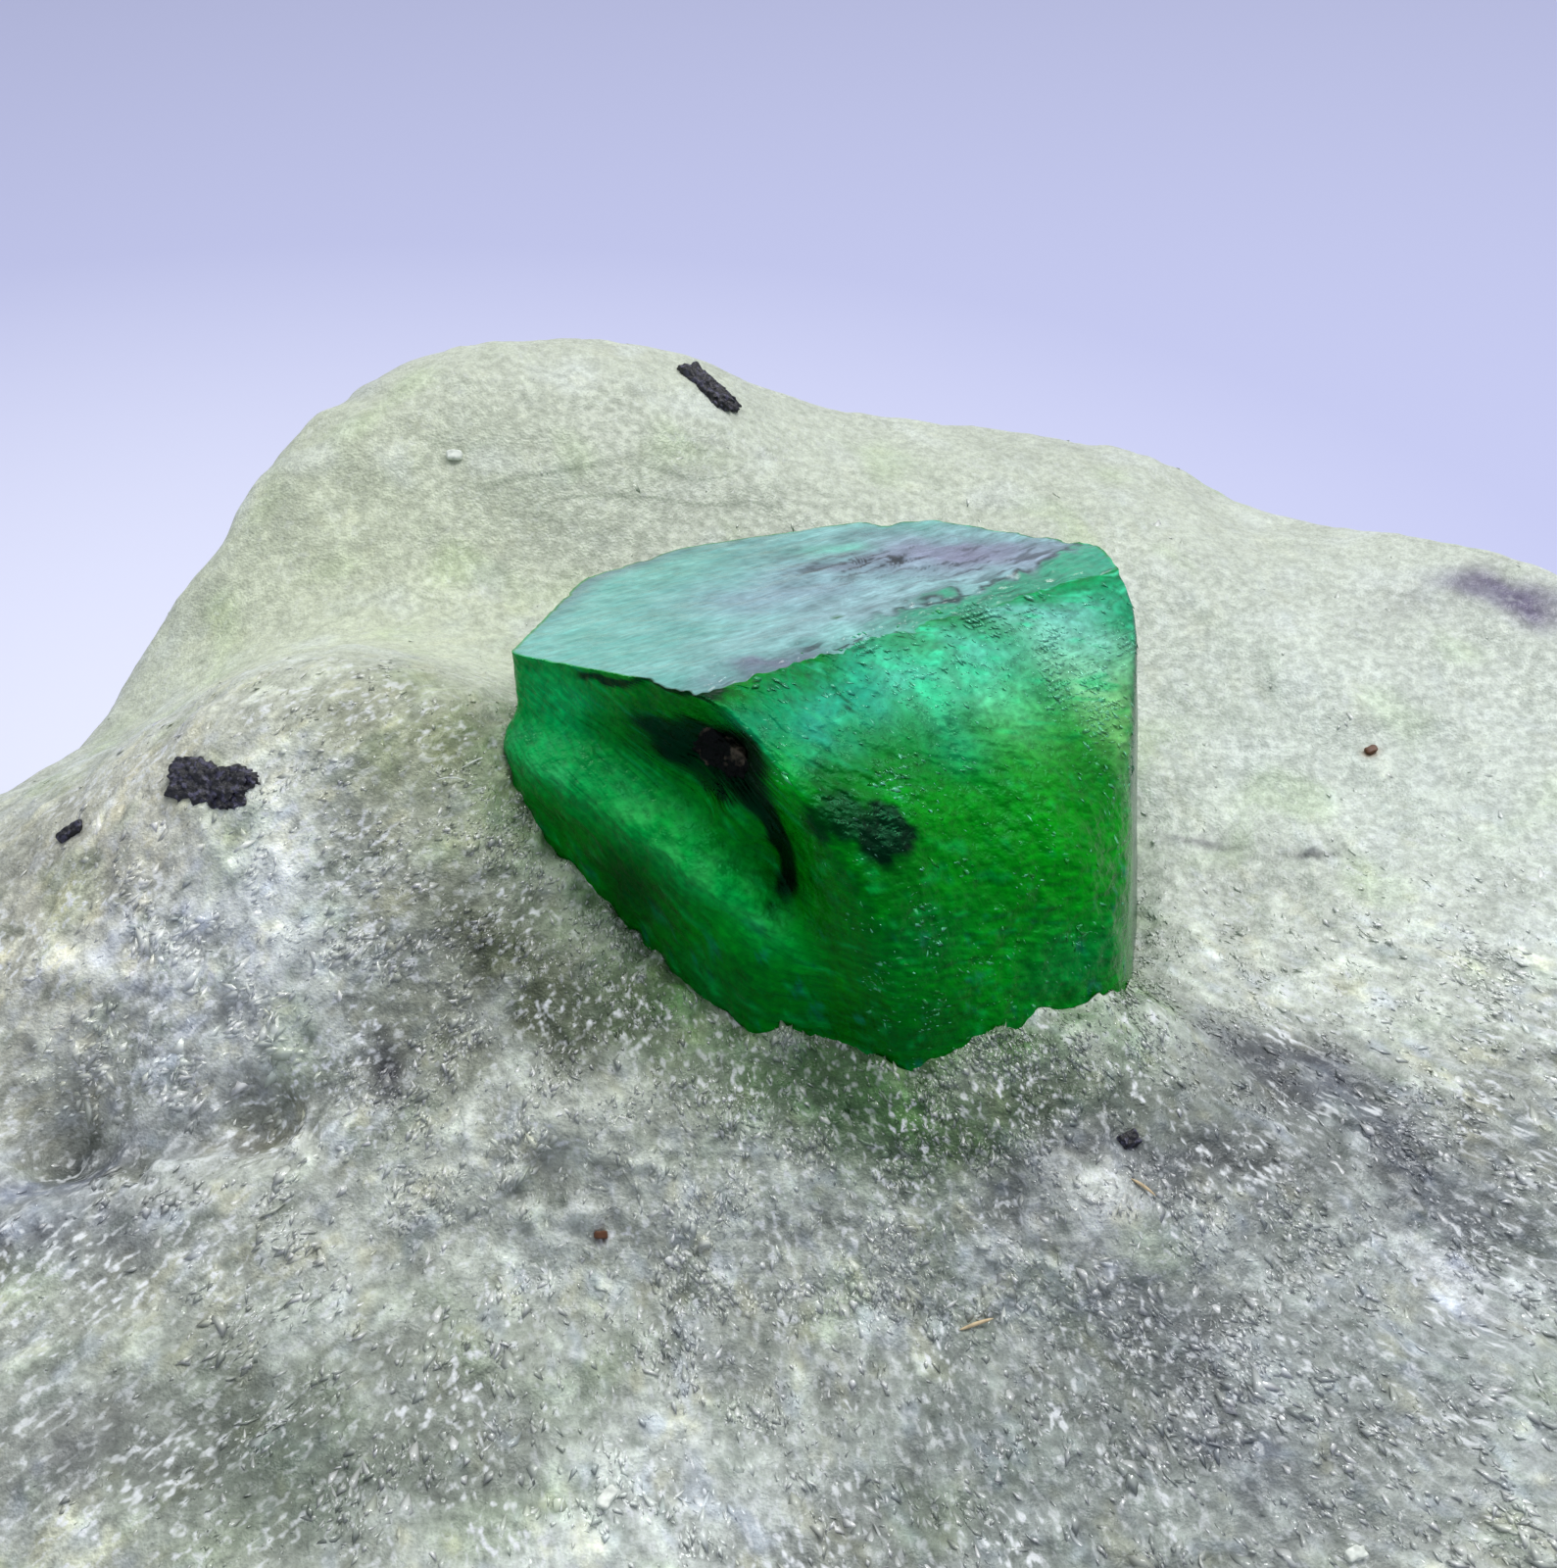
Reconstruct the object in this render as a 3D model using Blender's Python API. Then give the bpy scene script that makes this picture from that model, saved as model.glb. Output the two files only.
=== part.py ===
"""An emerald crystal standing in a loose lump of pale talc-carbonate rock.

The crystal is a stout hexagonal prism with a flat end. Its front is broken: one fracture slopes
down from the flat end to the lower right, and a ledge with a hollow above it crosses the left.
The rock is one lump with a flat broken base. The origin is on that base, under the crystal, with
+Z up and -Y towards the side that shows the crystal best.
"""

import math

import bmesh
import bpy
import numpy as np
from mathutils import Matrix, Vector

MM = 0.001

# Driving dimensions, in millimetres and degrees
TOP_CENTRE = (-0.35, 1.1, 24.0)
CRYSTAL_LEANS_BACK = 10.5
CRYSTAL_LEANS_LEFT = 3.5
CRYSTAL_HEIGHT = 11.0
POCKET_GAP = 0.15
SOCKET_GAP = 0.1

# Each side face of the crystal: direction it faces, and its distance from the axis
PRISM_FACES = (
    (349.5, 5.25),
    (10.0, 5.78),
    (50.0, 6.25),
    (108.0, 6.1),
    (136.0, 5.95),
    (169.0, 5.5),
    (235.0, 4.25),
    (289.5, 5.6),
)
EDGE_SHARPNESS = 60.0
EDGE_CROWDING = 0.35
FRONT_CROWDING = (225.0, 38.0, 1.6)
FRACTURE_CRISP, FRACTURE_SOFT, FRACTURE_SOFTENS = 60.0, 18.0, 1.4

# The fracture that broke the front away: it meets the flat end near the axis and runs out below
FRACTURE_FACES = 308.0
FRACTURE_AT_TOP = 1.2
FRACTURE_RUN = 4.9
FRACTURE_EASES = 3.0

# The ledge across the left of the front: its crest drops from left to right, and the line
# that carries it on round the crystal, which the mesh follows, comes back up behind
LEDGE_START, LEDGE_END = 188.0, 258.0
LEDGE_STATIONS = (188.0, 211.0, 232.0, 262.0, 300.0, 360.0, 420.0, 480.0)
LEDGE_CREST_DEPTHS = (1.2, 1.6, 2.4, 4.2, 4.2, 3.4, 2.4, 1.5)
LEDGE_WIDTH = 0.8
LEDGE_SLOPE = 0.7

# Dents and swellings of the broken front: direction, depth, half-widths and height
FRONT_RELIEF = (
    (237.0, 1.3, 11.0, 0.8, -0.65),
    (252.5, 3.1, 8.0, 1.2, -0.5),
    (284.0, 2.0, 12.0, 1.4, 0.25),
    (318.0, 3.6, 16.0, 2.4, 0.3),
    (222.0, 5.4, 12.0, 1.6, -0.3),
)

# The broken faces round the lump: direction, and distance at the base and at the rim
ROCK_FACES = (
    (97.0, 13.0, 15.4),
    (62.0, 18.5, 17.2),
    (38.0, 21.0, 20.6),
    (12.0, 20.5, 23.0),
    (332.0, 23.5, 22.4),
    (283.0, 15.5, 18.8),
    (238.0, 19.5, 19.6),
    (193.0, 15.5, 18.2),
    (152.0, 18.5, 16.0),
    (124.0, 17.5, 15.7),
)
ROCK_EDGE_BLUNTNESS = 11.0
RIM_WIDTH, RIM_DROP = 0.055, 2.2
BASE_CHAMFER = 0.8

# The top of the lump: a tilted plane, and its humps and hollows as centre, reach and height
PLANE_HEIGHT, PLANE_FALL_RIGHT, PLANE_RISE_BACK = 17.9, 0.069, 0.221
LANDFORMS = (
    ((-6.8, 12.5), (6.0, 5.0), 3.7),
    ((-12.8, 9.0), (4.0, 4.0), 1.9),
    ((-16.0, 5.0), (5.0, 4.0), -1.5),
    ((7.0, 13.0), (8.0, 5.0), 1.3),
    ((10.5, 14.0), (4.0, 4.0), -0.9),
    ((17.0, 9.0), (5.0, 5.0), 1.7),
    ((-13.5, -1.0), (5.0, 6.0), 1.0),
    ((-8.7, -0.1), (6.0, 4.6), 4.5),
    ((-9.0, -9.0), (7.0, 5.0), 0.6),
    ((14.0, -2.0), (8.0, 9.0), 1.3),
    ((-3.0, -5.5), (4.0, 3.0), 1.0),
    ((2.8, -4.6), (4.5, 3.2), 2.5),
)
# Pits, scallops and low plates broken into the top in front of the crystal, given the same way
PITS_AND_PLATES = (
    ((-13.3, -6.1), (1.5, 1.2), -0.9),
    ((-10.6, -5.9), (1.6, 0.9), -0.7),
    ((-5.2, -6.3), (2.0, 1.0), 0.4),
    ((-4.8, -8.1), (2.4, 0.9), -0.35),
    ((3.9, -7.4), (1.2, 0.9), 0.35),
    ((1.8, -8.6), (2.2, 1.0), -0.4),
    ((9.5, -7.5), (3.2, 1.2), -0.45),
)
# Lumpiness of the rock: wavelength and height of each layer of noise
LUMPS = ((7.0, 0.5), (3.4, 0.22))
SIDE_LUMPS = ((9.0, 1.1), (4.0, 0.6))
FOLIATION_STEP, FOLIATION_DEPTH, FOLIATION_TILT = 2.6, 0.7, 0.2

# Black mineral grains: name, place in plan, size along, across and through, and turn
BLACK_GRAINS = (
    ("black_grain_left", (-11.3, -1.7), (1.75, 1.0, 0.7), -14.0),
    ("black_grain_far_left", (-14.0, -1.4), (0.8, 0.45, 0.45), 20.0),
    ("black_grain_ridge", (-3.0, 12.7), (1.6, 0.8, 0.7), -35.0),
    ("black_grain_front", (4.4, -6.3), (0.6, 0.45, 0.45), 35.0),
)
GRAIN_SUNK = 0.1
# The dark rock wedged in the hollow of the crystal: direction and depth on the crystal, and size
INCLUSION_DIRECTION, INCLUSION_DEPTH = 238.5, 1.4
INCLUSION_SIZE = (2.1, 0.85, 0.8)
INCLUSION_TURN = -30.0
INCLUSION_SUNK = 0.05

# Mesh fineness
CRYSTAL_COLUMNS = 72
CRYSTAL_END_ROWS, ABOVE_LEDGE_ROWS, LEDGE_ROWS, BELOW_LEDGE_ROWS, FOOT_ROWS = 4, 6, 2, 9, 3
CROWDING_LEVELS, CROWDING_SHARES = 56, 181
ROCK_COLUMNS, ROCK_TOP_ROWS, ROCK_RIM_ROWS, ROCK_SIDE_ROWS, ROCK_BASE_ROWS = 80, 22, 3, 8, 3


def value_noise(points, size, seed):
    """Smooth noise from -1 to 1: random values on a cubic lattice of that size, eased between."""
    scaled = points / size
    cell = np.floor(scaled).astype(np.int64)
    part = scaled - cell
    part = part * part * (3 - 2 * part)
    total = 0.0
    for corner in range(8):
        step = np.array([corner & 1, corner >> 1 & 1, corner >> 2 & 1])
        ix, iy, iz = np.moveaxis(cell + step, -1, 0)
        mixed = (ix * 374761393 + iy * 668265263 + iz * 2147483647 + seed * 144665) & 0xFFFFFFFF
        mixed = ((mixed ^ mixed >> 13) * 1274126177) & 0xFFFFFFFF
        value = ((mixed ^ mixed >> 16) & 0xFFFF) / 32767.5 - 1
        total = total + value * np.prod(np.where(step, part, 1 - part), axis=-1)
    return total


def lumpiness(points, layers, seed):
    return sum(height * value_noise(points, size, seed + i) for i, (size, height) in enumerate(layers))


def smoothstep(low, high, x):
    t = np.clip((x - low) / (high - low), 0, 1)
    return t * t * (3 - 2 * t)


def angle_between(a, b):
    """The signed turn from b to a, in degrees, from -180 to 180."""
    return (a - b + 180) % 360 - 180


def faced_reach(direction, faces, sharpness):
    """Distance from an axis to the flat faces round it: their smooth minimum, as a power mean."""
    pressed = 0.0
    for facing, distance in faces:
        share = np.cos(np.radians(direction - facing)).clip(0) / distance
        pressed = pressed + share**sharpness
    return (pressed + 1e-90) ** (-1 / sharpness)


def prism_reach(direction, depth):
    """Distance from the crystal's axis to its surface, facing that way, that far below the flat end.

    The break meets the prism in a crisp edge near the flat end and a blunter one further down.
    """
    prism = faced_reach(direction, PRISM_FACES, EDGE_SHARPNESS)
    broken = FRACTURE_AT_TOP + FRACTURE_RUN * (1 - np.exp(-depth / FRACTURE_EASES))
    share = np.cos(np.radians(direction - FRACTURE_FACES)).clip(0) / broken
    blend = FRACTURE_SOFT + (FRACTURE_CRISP - FRACTURE_SOFT) * np.exp(-depth / FRACTURE_SOFTENS)
    return (prism**-blend + share**blend) ** (-1 / blend)


def ledge_crest(direction):
    return np.interp(direction, LEDGE_STATIONS, LEDGE_CREST_DEPTHS, period=360)


def ledge(direction, depth):
    """How far the ledge stands out: nothing above its crest, its full width below it."""
    crest = ledge_crest(direction)
    along = smoothstep(LEDGE_START - 6, LEDGE_START + 14, direction)
    along = along * (1 - smoothstep(LEDGE_END - 10, LEDGE_END + 8, direction))
    return LEDGE_WIDTH * along * smoothstep(crest - LEDGE_SLOPE / 2, crest + LEDGE_SLOPE / 2, depth)


def front_relief(direction, depth):
    total = 0.0
    for facing, at_depth, half_angle, half_depth, height in FRONT_RELIEF:
        off = (angle_between(direction, facing) / half_angle) ** 2 + ((depth - at_depth) / half_depth) ** 2
        total = total + height * np.exp(-off)
    return total


def crystal_reach(direction, depth):
    return prism_reach(direction, depth) + ledge(direction, depth) + front_relief(direction, depth)


def crystal_to_row():
    """From the crystal's own axes, with its flat end at height 0, to the row frame in millimetres."""
    lean_back = Matrix.Rotation(math.radians(-CRYSTAL_LEANS_BACK), 4, "X")
    lean_left = Matrix.Rotation(math.radians(-CRYSTAL_LEANS_LEFT), 4, "Y")
    return Matrix.Translation(TOP_CENTRE) @ lean_left @ lean_back


def moved(points, matrix):
    turn = np.array(matrix.to_3x3())
    return points @ turn.T + np.array(matrix.translation)


def edge_crowding():
    """Directions of columns, by depth: crowded at the prism's edges and on the broken front."""
    fine = np.linspace(0, 360, 1441)
    table = []
    for depth in np.linspace(0, CRYSTAL_HEIGHT, CROWDING_LEVELS):
        reach = prism_reach(fine, depth)
        x, y = reach * np.cos(np.radians(fine)), reach * np.sin(np.radians(fine))
        length = np.hypot(np.diff(x), np.diff(y))
        turning = np.abs(np.gradient(np.unwrap(np.arctan2(np.diff(y), np.diff(x)))))
        off = angle_between(fine[1:], FRONT_CROWDING[0]) / FRONT_CROWDING[1]
        length = length * (1 + FRONT_CROWDING[2] * np.exp(-(off**2)))
        weight = (1 - EDGE_CROWDING) * length / length.sum() + EDGE_CROWDING * turning / turning.sum()
        travelled = np.concatenate([[0], np.cumsum(weight)])
        shares = np.linspace(0, travelled[-1], CROWDING_SHARES)
        table.append(np.interp(shares, travelled, fine))
    return np.array(table)


def crowded_direction(share, depth, table):
    i = (depth / CRYSTAL_HEIGHT).clip(0, 1) * (CROWDING_LEVELS - 1)
    j = share * (CROWDING_SHARES - 1)
    i0, j0 = np.minimum(i.astype(int), CROWDING_LEVELS - 2), np.minimum(j.astype(int), CROWDING_SHARES - 2)
    u, v = i - i0, j - j0
    upper = table[i0, j0] * (1 - v) + table[i0, j0 + 1] * v
    lower = table[i0 + 1, j0] * (1 - v) + table[i0 + 1, j0 + 1] * v
    return upper * (1 - u) + lower * u


def crystal_surface(theta, row, grow=0.0):
    """Rows run from the middle of the flat end, over its edge, down past the ledge to the foot."""
    first = CRYSTAL_END_ROWS
    crest_row = first + ABOVE_LEDGE_ROWS
    below_row = crest_row + LEDGE_ROWS
    foot_row = below_row + BELOW_LEDGE_ROWS
    last = foot_row + FOOT_ROWS
    below = np.interp(row, [below_row, foot_row], [0, 1]) ** 1.2
    table = edge_crowding()
    direction = np.degrees(theta)
    for settle in range(16):
        crest = ledge_crest(direction)
        depth = np.interp(row, [first, crest_row], [0, 1]) * (crest - LEDGE_SLOPE / 2)
        depth = depth + np.interp(row, [crest_row, below_row], [0, LEDGE_SLOPE])
        depth = depth + below * (CRYSTAL_HEIGHT - crest - LEDGE_SLOPE / 2)
        direction = (direction + crowded_direction(theta / (2 * math.pi), depth, table)) / 2
    share = np.interp(row, [0, first, foot_row, last], [0, 1, 1, 0])
    turn = np.radians(direction)
    reach = (crystal_reach(direction, depth) + grow) * share
    height = -depth + np.where(row > foot_row, -grow, np.where(row <= first, grow, 0))
    local = np.stack([reach * np.cos(turn), reach * np.sin(turn), height], axis=-1)
    return moved(local, crystal_to_row())


CRYSTAL_ROWS = CRYSTAL_END_ROWS + ABOVE_LEDGE_ROWS + LEDGE_ROWS + BELOW_LEDGE_ROWS + FOOT_ROWS
ROCK_ROWS = ROCK_TOP_ROWS + ROCK_RIM_ROWS + ROCK_SIDE_ROWS + ROCK_BASE_ROWS


def side_reach(theta, up):
    """Distance from the origin to the lump's broken sides; up is 0 at the base and 1 at the rim."""
    faces = [(facing, low + (high - low) * up) for facing, low, high in ROCK_FACES]
    return faced_reach(np.degrees(theta), faces, ROCK_EDGE_BLUNTNESS)


def ground_height(x, y):
    """Height of the lump's top, before its noise and before it rolls over at the rim."""
    height = PLANE_HEIGHT - PLANE_FALL_RIGHT * x + PLANE_RISE_BACK * y
    for (cx, cy), (reach_x, reach_y), rise in LANDFORMS + PITS_AND_PLATES:
        height = height + rise * np.exp(-(((x - cx) / reach_x) ** 2) - ((y - cy) / reach_y) ** 2)
    return height


def rock_surface(theta, row):
    """Rows run from the middle of the top, over the rim, down the side and in across the base."""
    rim_row = ROCK_TOP_ROWS
    side_row = rim_row + ROCK_RIM_ROWS
    base_row = side_row + ROCK_SIDE_ROWS
    share = np.interp(row, [0, rim_row], [0, 1]) ** 0.85 * (1 - RIM_WIDTH)
    turn = np.interp(row, [rim_row, side_row], [0, math.pi / 2])
    down = np.interp(row, [side_row, base_row], [0, 1])
    inward = np.interp(row, [base_row, ROCK_ROWS], [1, 0])
    outward = np.stack([np.cos(theta), np.sin(theta)], axis=-1)
    out = np.where(turn > 0, 1 - RIM_WIDTH * (1 - np.sin(turn)), share)
    x, y = np.moveaxis(outward * (side_reach(theta, 1.0) * out)[..., None], -1, 0)
    crown = ground_height(x, y) - RIM_DROP * (1 - np.cos(turn))
    z = crown * (1 - down)
    across = outward * (side_reach(theta, 1 - down) * out)[..., None]
    points = np.concatenate([across, z[..., None]], axis=-1)
    lumps = lumpiness(points, LUMPS, seed=11)
    layer = (z + FOLIATION_TILT * x + 0.1 * y)[..., None] * np.array([1.0, 0.0, 0.0])
    bulge = lumpiness(points, SIDE_LUMPS, seed=21)
    bulge = bulge + FOLIATION_DEPTH * value_noise(layer, FOLIATION_STEP, seed=3)
    beside = np.sin(turn) * (1 - 0.7 * smoothstep(0.85, 1.0, down))
    points[..., :2] += outward * (bulge * beside)[..., None]
    points[..., 2] += lumps * np.cos(turn)
    chamfer = BASE_CHAMFER * smoothstep(0.99, 1.0, down) * (inward == 1)
    points[..., :2] -= outward * chamfer[..., None]
    points[..., :2] *= inward[..., None]
    points[..., 2] = np.where(down >= 1, 0.0, points[..., 2])
    return points


def wrapped_sphere(name, columns, rows, surface, collection):
    """A UV sphere whose every vertex is moved to surface(theta, row); row 0 is the upper pole."""
    shape = bmesh.new()
    bmesh.ops.create_uvsphere(shape, u_segments=columns, v_segments=rows, radius=1.0)
    mesh = bpy.data.meshes.new(name)
    shape.to_mesh(mesh)
    shape.free()
    round_points = np.zeros(len(mesh.vertices) * 3, np.float32)
    mesh.vertices.foreach_get("co", round_points)
    round_points = round_points.reshape(-1, 3).astype(float)
    theta = np.arctan2(round_points[:, 1], round_points[:, 0]) % (2 * math.pi)
    row = np.rint(np.arccos(round_points[:, 2].clip(-1, 1)) / math.pi * rows)
    placed = surface(theta, row) * MM
    mesh.vertices.foreach_set("co", placed.astype(np.float32).ravel())
    mesh.update()
    piece = bpy.data.objects.new(name, mesh)
    collection.objects.link(piece)
    return piece


def rock_top(x, y):
    """Height of the finished lump at a place on its top, its noise included."""
    z = ground_height(np.array(x), np.array(y))
    return float(z + lumpiness(np.array([x, y, z], float), LUMPS, seed=11))


def tangent_frame(x, y):
    """A matrix whose Z stands out of the rock's top at that place, in millimetres."""
    step = 0.5
    slope_x = (rock_top(x + step, y) - rock_top(x - step, y)) / (2 * step)
    slope_y = (rock_top(x, y + step) - rock_top(x, y - step)) / (2 * step)
    outward = Vector((-slope_x, -slope_y, 1)).normalized()
    turned = Vector((0, 0, 1)).rotation_difference(outward).to_matrix().to_4x4()
    return Matrix.Translation((x, y, rock_top(x, y))) @ turned


def blocky_grain(name, size, matrix, collection, seed, grow=0.0):
    """A rough grain: a ball pressed towards a box, roughened, and placed by matrix."""
    shape = bmesh.new()
    bmesh.ops.create_icosphere(shape, subdivisions=2, radius=1.0)
    mesh = bpy.data.meshes.new(name)
    shape.to_mesh(mesh)
    shape.free()
    ball = np.zeros(len(mesh.vertices) * 3, np.float32)
    mesh.vertices.foreach_get("co", ball)
    ball = ball.reshape(-1, 3).astype(float)
    boxed = ball / (np.abs(ball) ** 4).sum(axis=1, keepdims=True) ** 0.25
    rough = 1 + 0.16 * value_noise(ball * 2 + seed * 7.0, 1.0, seed)
    local = boxed * rough[:, None] * (np.array(size) / 2 + grow)
    mesh.vertices.foreach_set("co", (moved(local, matrix) * MM).astype(np.float32).ravel())
    mesh.update()
    piece = bpy.data.objects.new(name, mesh)
    collection.objects.link(piece)
    return piece


def material(name, colour, roughness):
    made = bpy.data.materials.new(name)
    made.use_nodes = True
    shader = made.node_tree.nodes["Principled BSDF"]
    shader.inputs["Base Color"].default_value = (*colour, 1)
    shader.inputs["Roughness"].default_value = roughness
    return made


def cut(piece, cutter):
    boolean = piece.modifiers.new("cut for " + cutter.name, "BOOLEAN")
    boolean.operation = "DIFFERENCE"
    boolean.solver = "EXACT"
    boolean.object = cutter


def as_cutter(piece):
    piece.hide_render = True
    piece.display_type = "WIRE"
    return piece


def inclusion_frame():
    """Where the dark rock sits on the crystal's hollow, its Z pointing out of the crystal."""
    theta = math.radians(INCLUSION_DIRECTION)
    reach = float(crystal_reach(INCLUSION_DIRECTION, INCLUSION_DEPTH)) - INCLUSION_SUNK
    place = Vector((reach * math.cos(theta), reach * math.sin(theta), -INCLUSION_DEPTH))
    facing = Matrix.Rotation(theta + math.pi / 2, 4, "Z") @ Matrix.Rotation(math.pi / 2, 4, "X")
    turned = Matrix.Rotation(math.radians(INCLUSION_TURN), 4, "Z")
    return crystal_to_row() @ Matrix.Translation(place) @ facing @ turned


def build():
    for old in list(bpy.data.objects):
        bpy.data.objects.remove(old)
    parts = bpy.data.collections.new("emerald in matrix")
    cutters = bpy.data.collections.new("cutters")
    for collection in (parts, cutters):
        bpy.context.scene.collection.children.link(collection)

    stone = material("pale talc-carbonate rock", (0.52, 0.55, 0.48), 0.6)
    green = material("emerald", (0.0, 0.28, 0.07), 0.25)
    black = material("black mineral", (0.02, 0.02, 0.03), 0.5)
    brown = material("dark rock in the crystal", (0.03, 0.03, 0.025), 0.6)

    rock = wrapped_sphere("matrix", ROCK_COLUMNS, ROCK_ROWS, rock_surface, parts)
    rock.data.materials.append(stone)
    crystal = wrapped_sphere("emerald_crystal", CRYSTAL_COLUMNS, CRYSTAL_ROWS, crystal_surface, parts)
    crystal.data.materials.append(green)

    def pocket_surface(theta, row):
        return crystal_surface(theta, row, grow=POCKET_GAP)

    pocket = wrapped_sphere("crystal pocket", CRYSTAL_COLUMNS, CRYSTAL_ROWS, pocket_surface, cutters)
    cut(rock, as_cutter(pocket))

    for seed, (name, place, size, turn) in enumerate(BLACK_GRAINS):
        lie = tangent_frame(*place) @ Matrix.Translation((0, 0, -GRAIN_SUNK))
        lie = lie @ Matrix.Rotation(math.radians(turn), 4, "Z")
        grain = blocky_grain(name, size, lie, parts, seed)
        grain.data.materials.append(black)
        socket = blocky_grain(name + " socket", size, lie, cutters, seed, grow=SOCKET_GAP)
        cut(rock, as_cutter(socket))

    seat = inclusion_frame()
    inclusion = blocky_grain("dark_inclusion", INCLUSION_SIZE, seat, parts, seed=9)
    inclusion.data.materials.append(brown)
    socket = blocky_grain("inclusion socket", INCLUSION_SIZE, seat, cutters, seed=9, grow=SOCKET_GAP)
    cut(crystal, as_cutter(socket))


build()
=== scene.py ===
# %% [markdown]
# # An emerald in its rock
#
# This notebook dresses a small mineral specimen: a stout emerald crystal, about 12 mm across,
# that stands half sunk in a lump of pale, sugary talc-carbonate rock. The measured solids come
# from a CAD frame. Here each of them is replaced by a finer surface, worked out with numpy from
# the same formulas, so the two agree while the fine one has the grains, chips and laminae.
#
# Lengths inside the formulas are in millimetres, and are turned to metres when a mesh is made.

import math

import bpy
import numpy as np
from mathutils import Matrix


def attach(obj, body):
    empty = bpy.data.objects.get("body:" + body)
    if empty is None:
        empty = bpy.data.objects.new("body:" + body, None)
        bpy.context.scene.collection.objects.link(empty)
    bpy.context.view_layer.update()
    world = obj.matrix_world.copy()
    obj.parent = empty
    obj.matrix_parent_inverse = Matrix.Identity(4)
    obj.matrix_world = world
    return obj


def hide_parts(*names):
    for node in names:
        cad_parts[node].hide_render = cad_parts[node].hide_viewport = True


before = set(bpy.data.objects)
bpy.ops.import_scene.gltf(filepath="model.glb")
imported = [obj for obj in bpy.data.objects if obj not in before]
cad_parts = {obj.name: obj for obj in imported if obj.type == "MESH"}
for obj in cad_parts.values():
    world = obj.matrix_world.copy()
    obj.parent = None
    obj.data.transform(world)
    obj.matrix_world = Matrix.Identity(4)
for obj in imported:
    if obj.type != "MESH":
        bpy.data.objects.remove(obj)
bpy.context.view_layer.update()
MM = 0.001
print("nodes:", sorted(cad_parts))

# %% [markdown]
# ## The camera
#
# The picture is a close-up from a hand's breadth away. Three things fix such a view: how far the
# camera looks down, how wide its lens sees, and where it stands. They were found by laying the
# prism's known right angles over the picture, and they are simply stated here. The longer side
# of the picture is its height, and a 50 mm lens on a 36 mm sensor refers to that side.

# %% Camera
CAMERA_AT = (-1.42, -33.73, 42.23)
LOOKS_DOWN = 32.0

lens = bpy.data.cameras.new("close-up lens")
lens.lens = 50
lens.sensor_width = 36
lens.clip_start = 0.002
lens.clip_end = 20
camera = bpy.data.objects.new("close-up camera", lens)
camera.location = [c * MM for c in CAMERA_AT]
camera.rotation_euler = (math.radians(90 - LOOKS_DOWN), 0, 0)
bpy.context.scene.collection.objects.link(camera)
bpy.context.scene.camera = camera
bpy.context.scene.view_settings.view_transform = "Standard"
print("camera at", CAMERA_AT, "mm, looking down", LOOKS_DOWN, "degrees")

# %% [markdown]
# ## Noise, the sculptor's grit
#
# Rock is never flat. Two kinds of noise roughen it. Value noise eases between random numbers on
# a lattice, and the CAD used it for the lump's big swells, so it is repeated here exactly.
# Gradient noise eases between random slopes and has no lattice look, so it makes the fine grit.
# Both work on whole arrays of points at once.

# %% Noise on arrays of points
LATTICE_PRIMES = (374761393, 668265263, 2147483647)


def lattice_corners(points, size, seed):
    """The part of the way across its lattice cell, along each axis, at which a place lies, and the
    cell's eight corners, each as a step along the axes and a scrambled 32-bit whole number."""
    scaled = np.ascontiguousarray(np.moveaxis(points, -1, 0)) / size
    cell = np.floor(scaled).astype(np.int64)
    base = sum(along * prime for along, prime in zip(cell, LATTICE_PRIMES)) + seed * 144665
    corners = []
    for corner in range(8):
        step = (corner & 1, corner >> 1 & 1, corner >> 2 & 1)
        mixed = (base + sum(one * prime for one, prime in zip(step, LATTICE_PRIMES))) & 0xFFFFFFFF
        mixed = ((mixed ^ mixed >> 13) * 1274126177) & 0xFFFFFFFF
        corners.append((step, mixed ^ mixed >> 16))
    return scaled - cell, corners


def corner_share(step, ease):
    """How much a corner counts: the product, over the three axes, of the eased way towards it."""
    x, y, z = (eased if one else 1 - eased for one, eased in zip(step, ease))
    return x * y * z


def value_noise(points, size, seed):
    """Noise from -1 to 1: random values on a lattice of that size, eased by 3t^2 - 2t^3."""
    part, corners = lattice_corners(points, size, seed)
    ease = part * part * (3 - 2 * part)
    return sum(((mixed & 0xFFFF) / 32767.5 - 1) * corner_share(step, ease) for step, mixed in corners)


def gradient_noise(points, size, seed):
    """Noise of about -1 to 1: a random slope at each lattice corner times the way to the point."""
    part, corners = lattice_corners(points, size, seed)
    ease = part * part * part * (part * (part * 6 - 15) + 10)
    total = 0.0
    for step, mixed in corners:
        slope = sum(((mixed >> 10 * i & 1023) / 511.5 - 1) * (part[i] - step[i]) for i in range(3))
        total = total + slope * corner_share(step, ease)
    return total * 1.25


def layered(points, layers, seed, noise=gradient_noise):
    """The sum of several noises, each with its own wavelength and height, in millimetres."""
    return sum(height * noise(points, size, seed + i) for i, (size, height) in enumerate(layers))


def smoothstep(low, high, x):
    """0 below low, 1 above high, eased between."""
    t = np.clip((x - low) / (high - low), 0, 1)
    return t * t * (3 - 2 * t)


def angle_between(a, b):
    """The signed turn from b to a, from -180 to 180 degrees."""
    return (a - b + 180) % 360 - 180


def srgb(red, green, blue):
    """A colour as a picture gives it, 0 to 255, turned to the linear values a shader needs."""
    c = np.array([red, green, blue]) / 255
    return np.where(c < 0.04045, c / 12.92, ((c + 0.055) / 1.055) ** 2.4)


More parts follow.
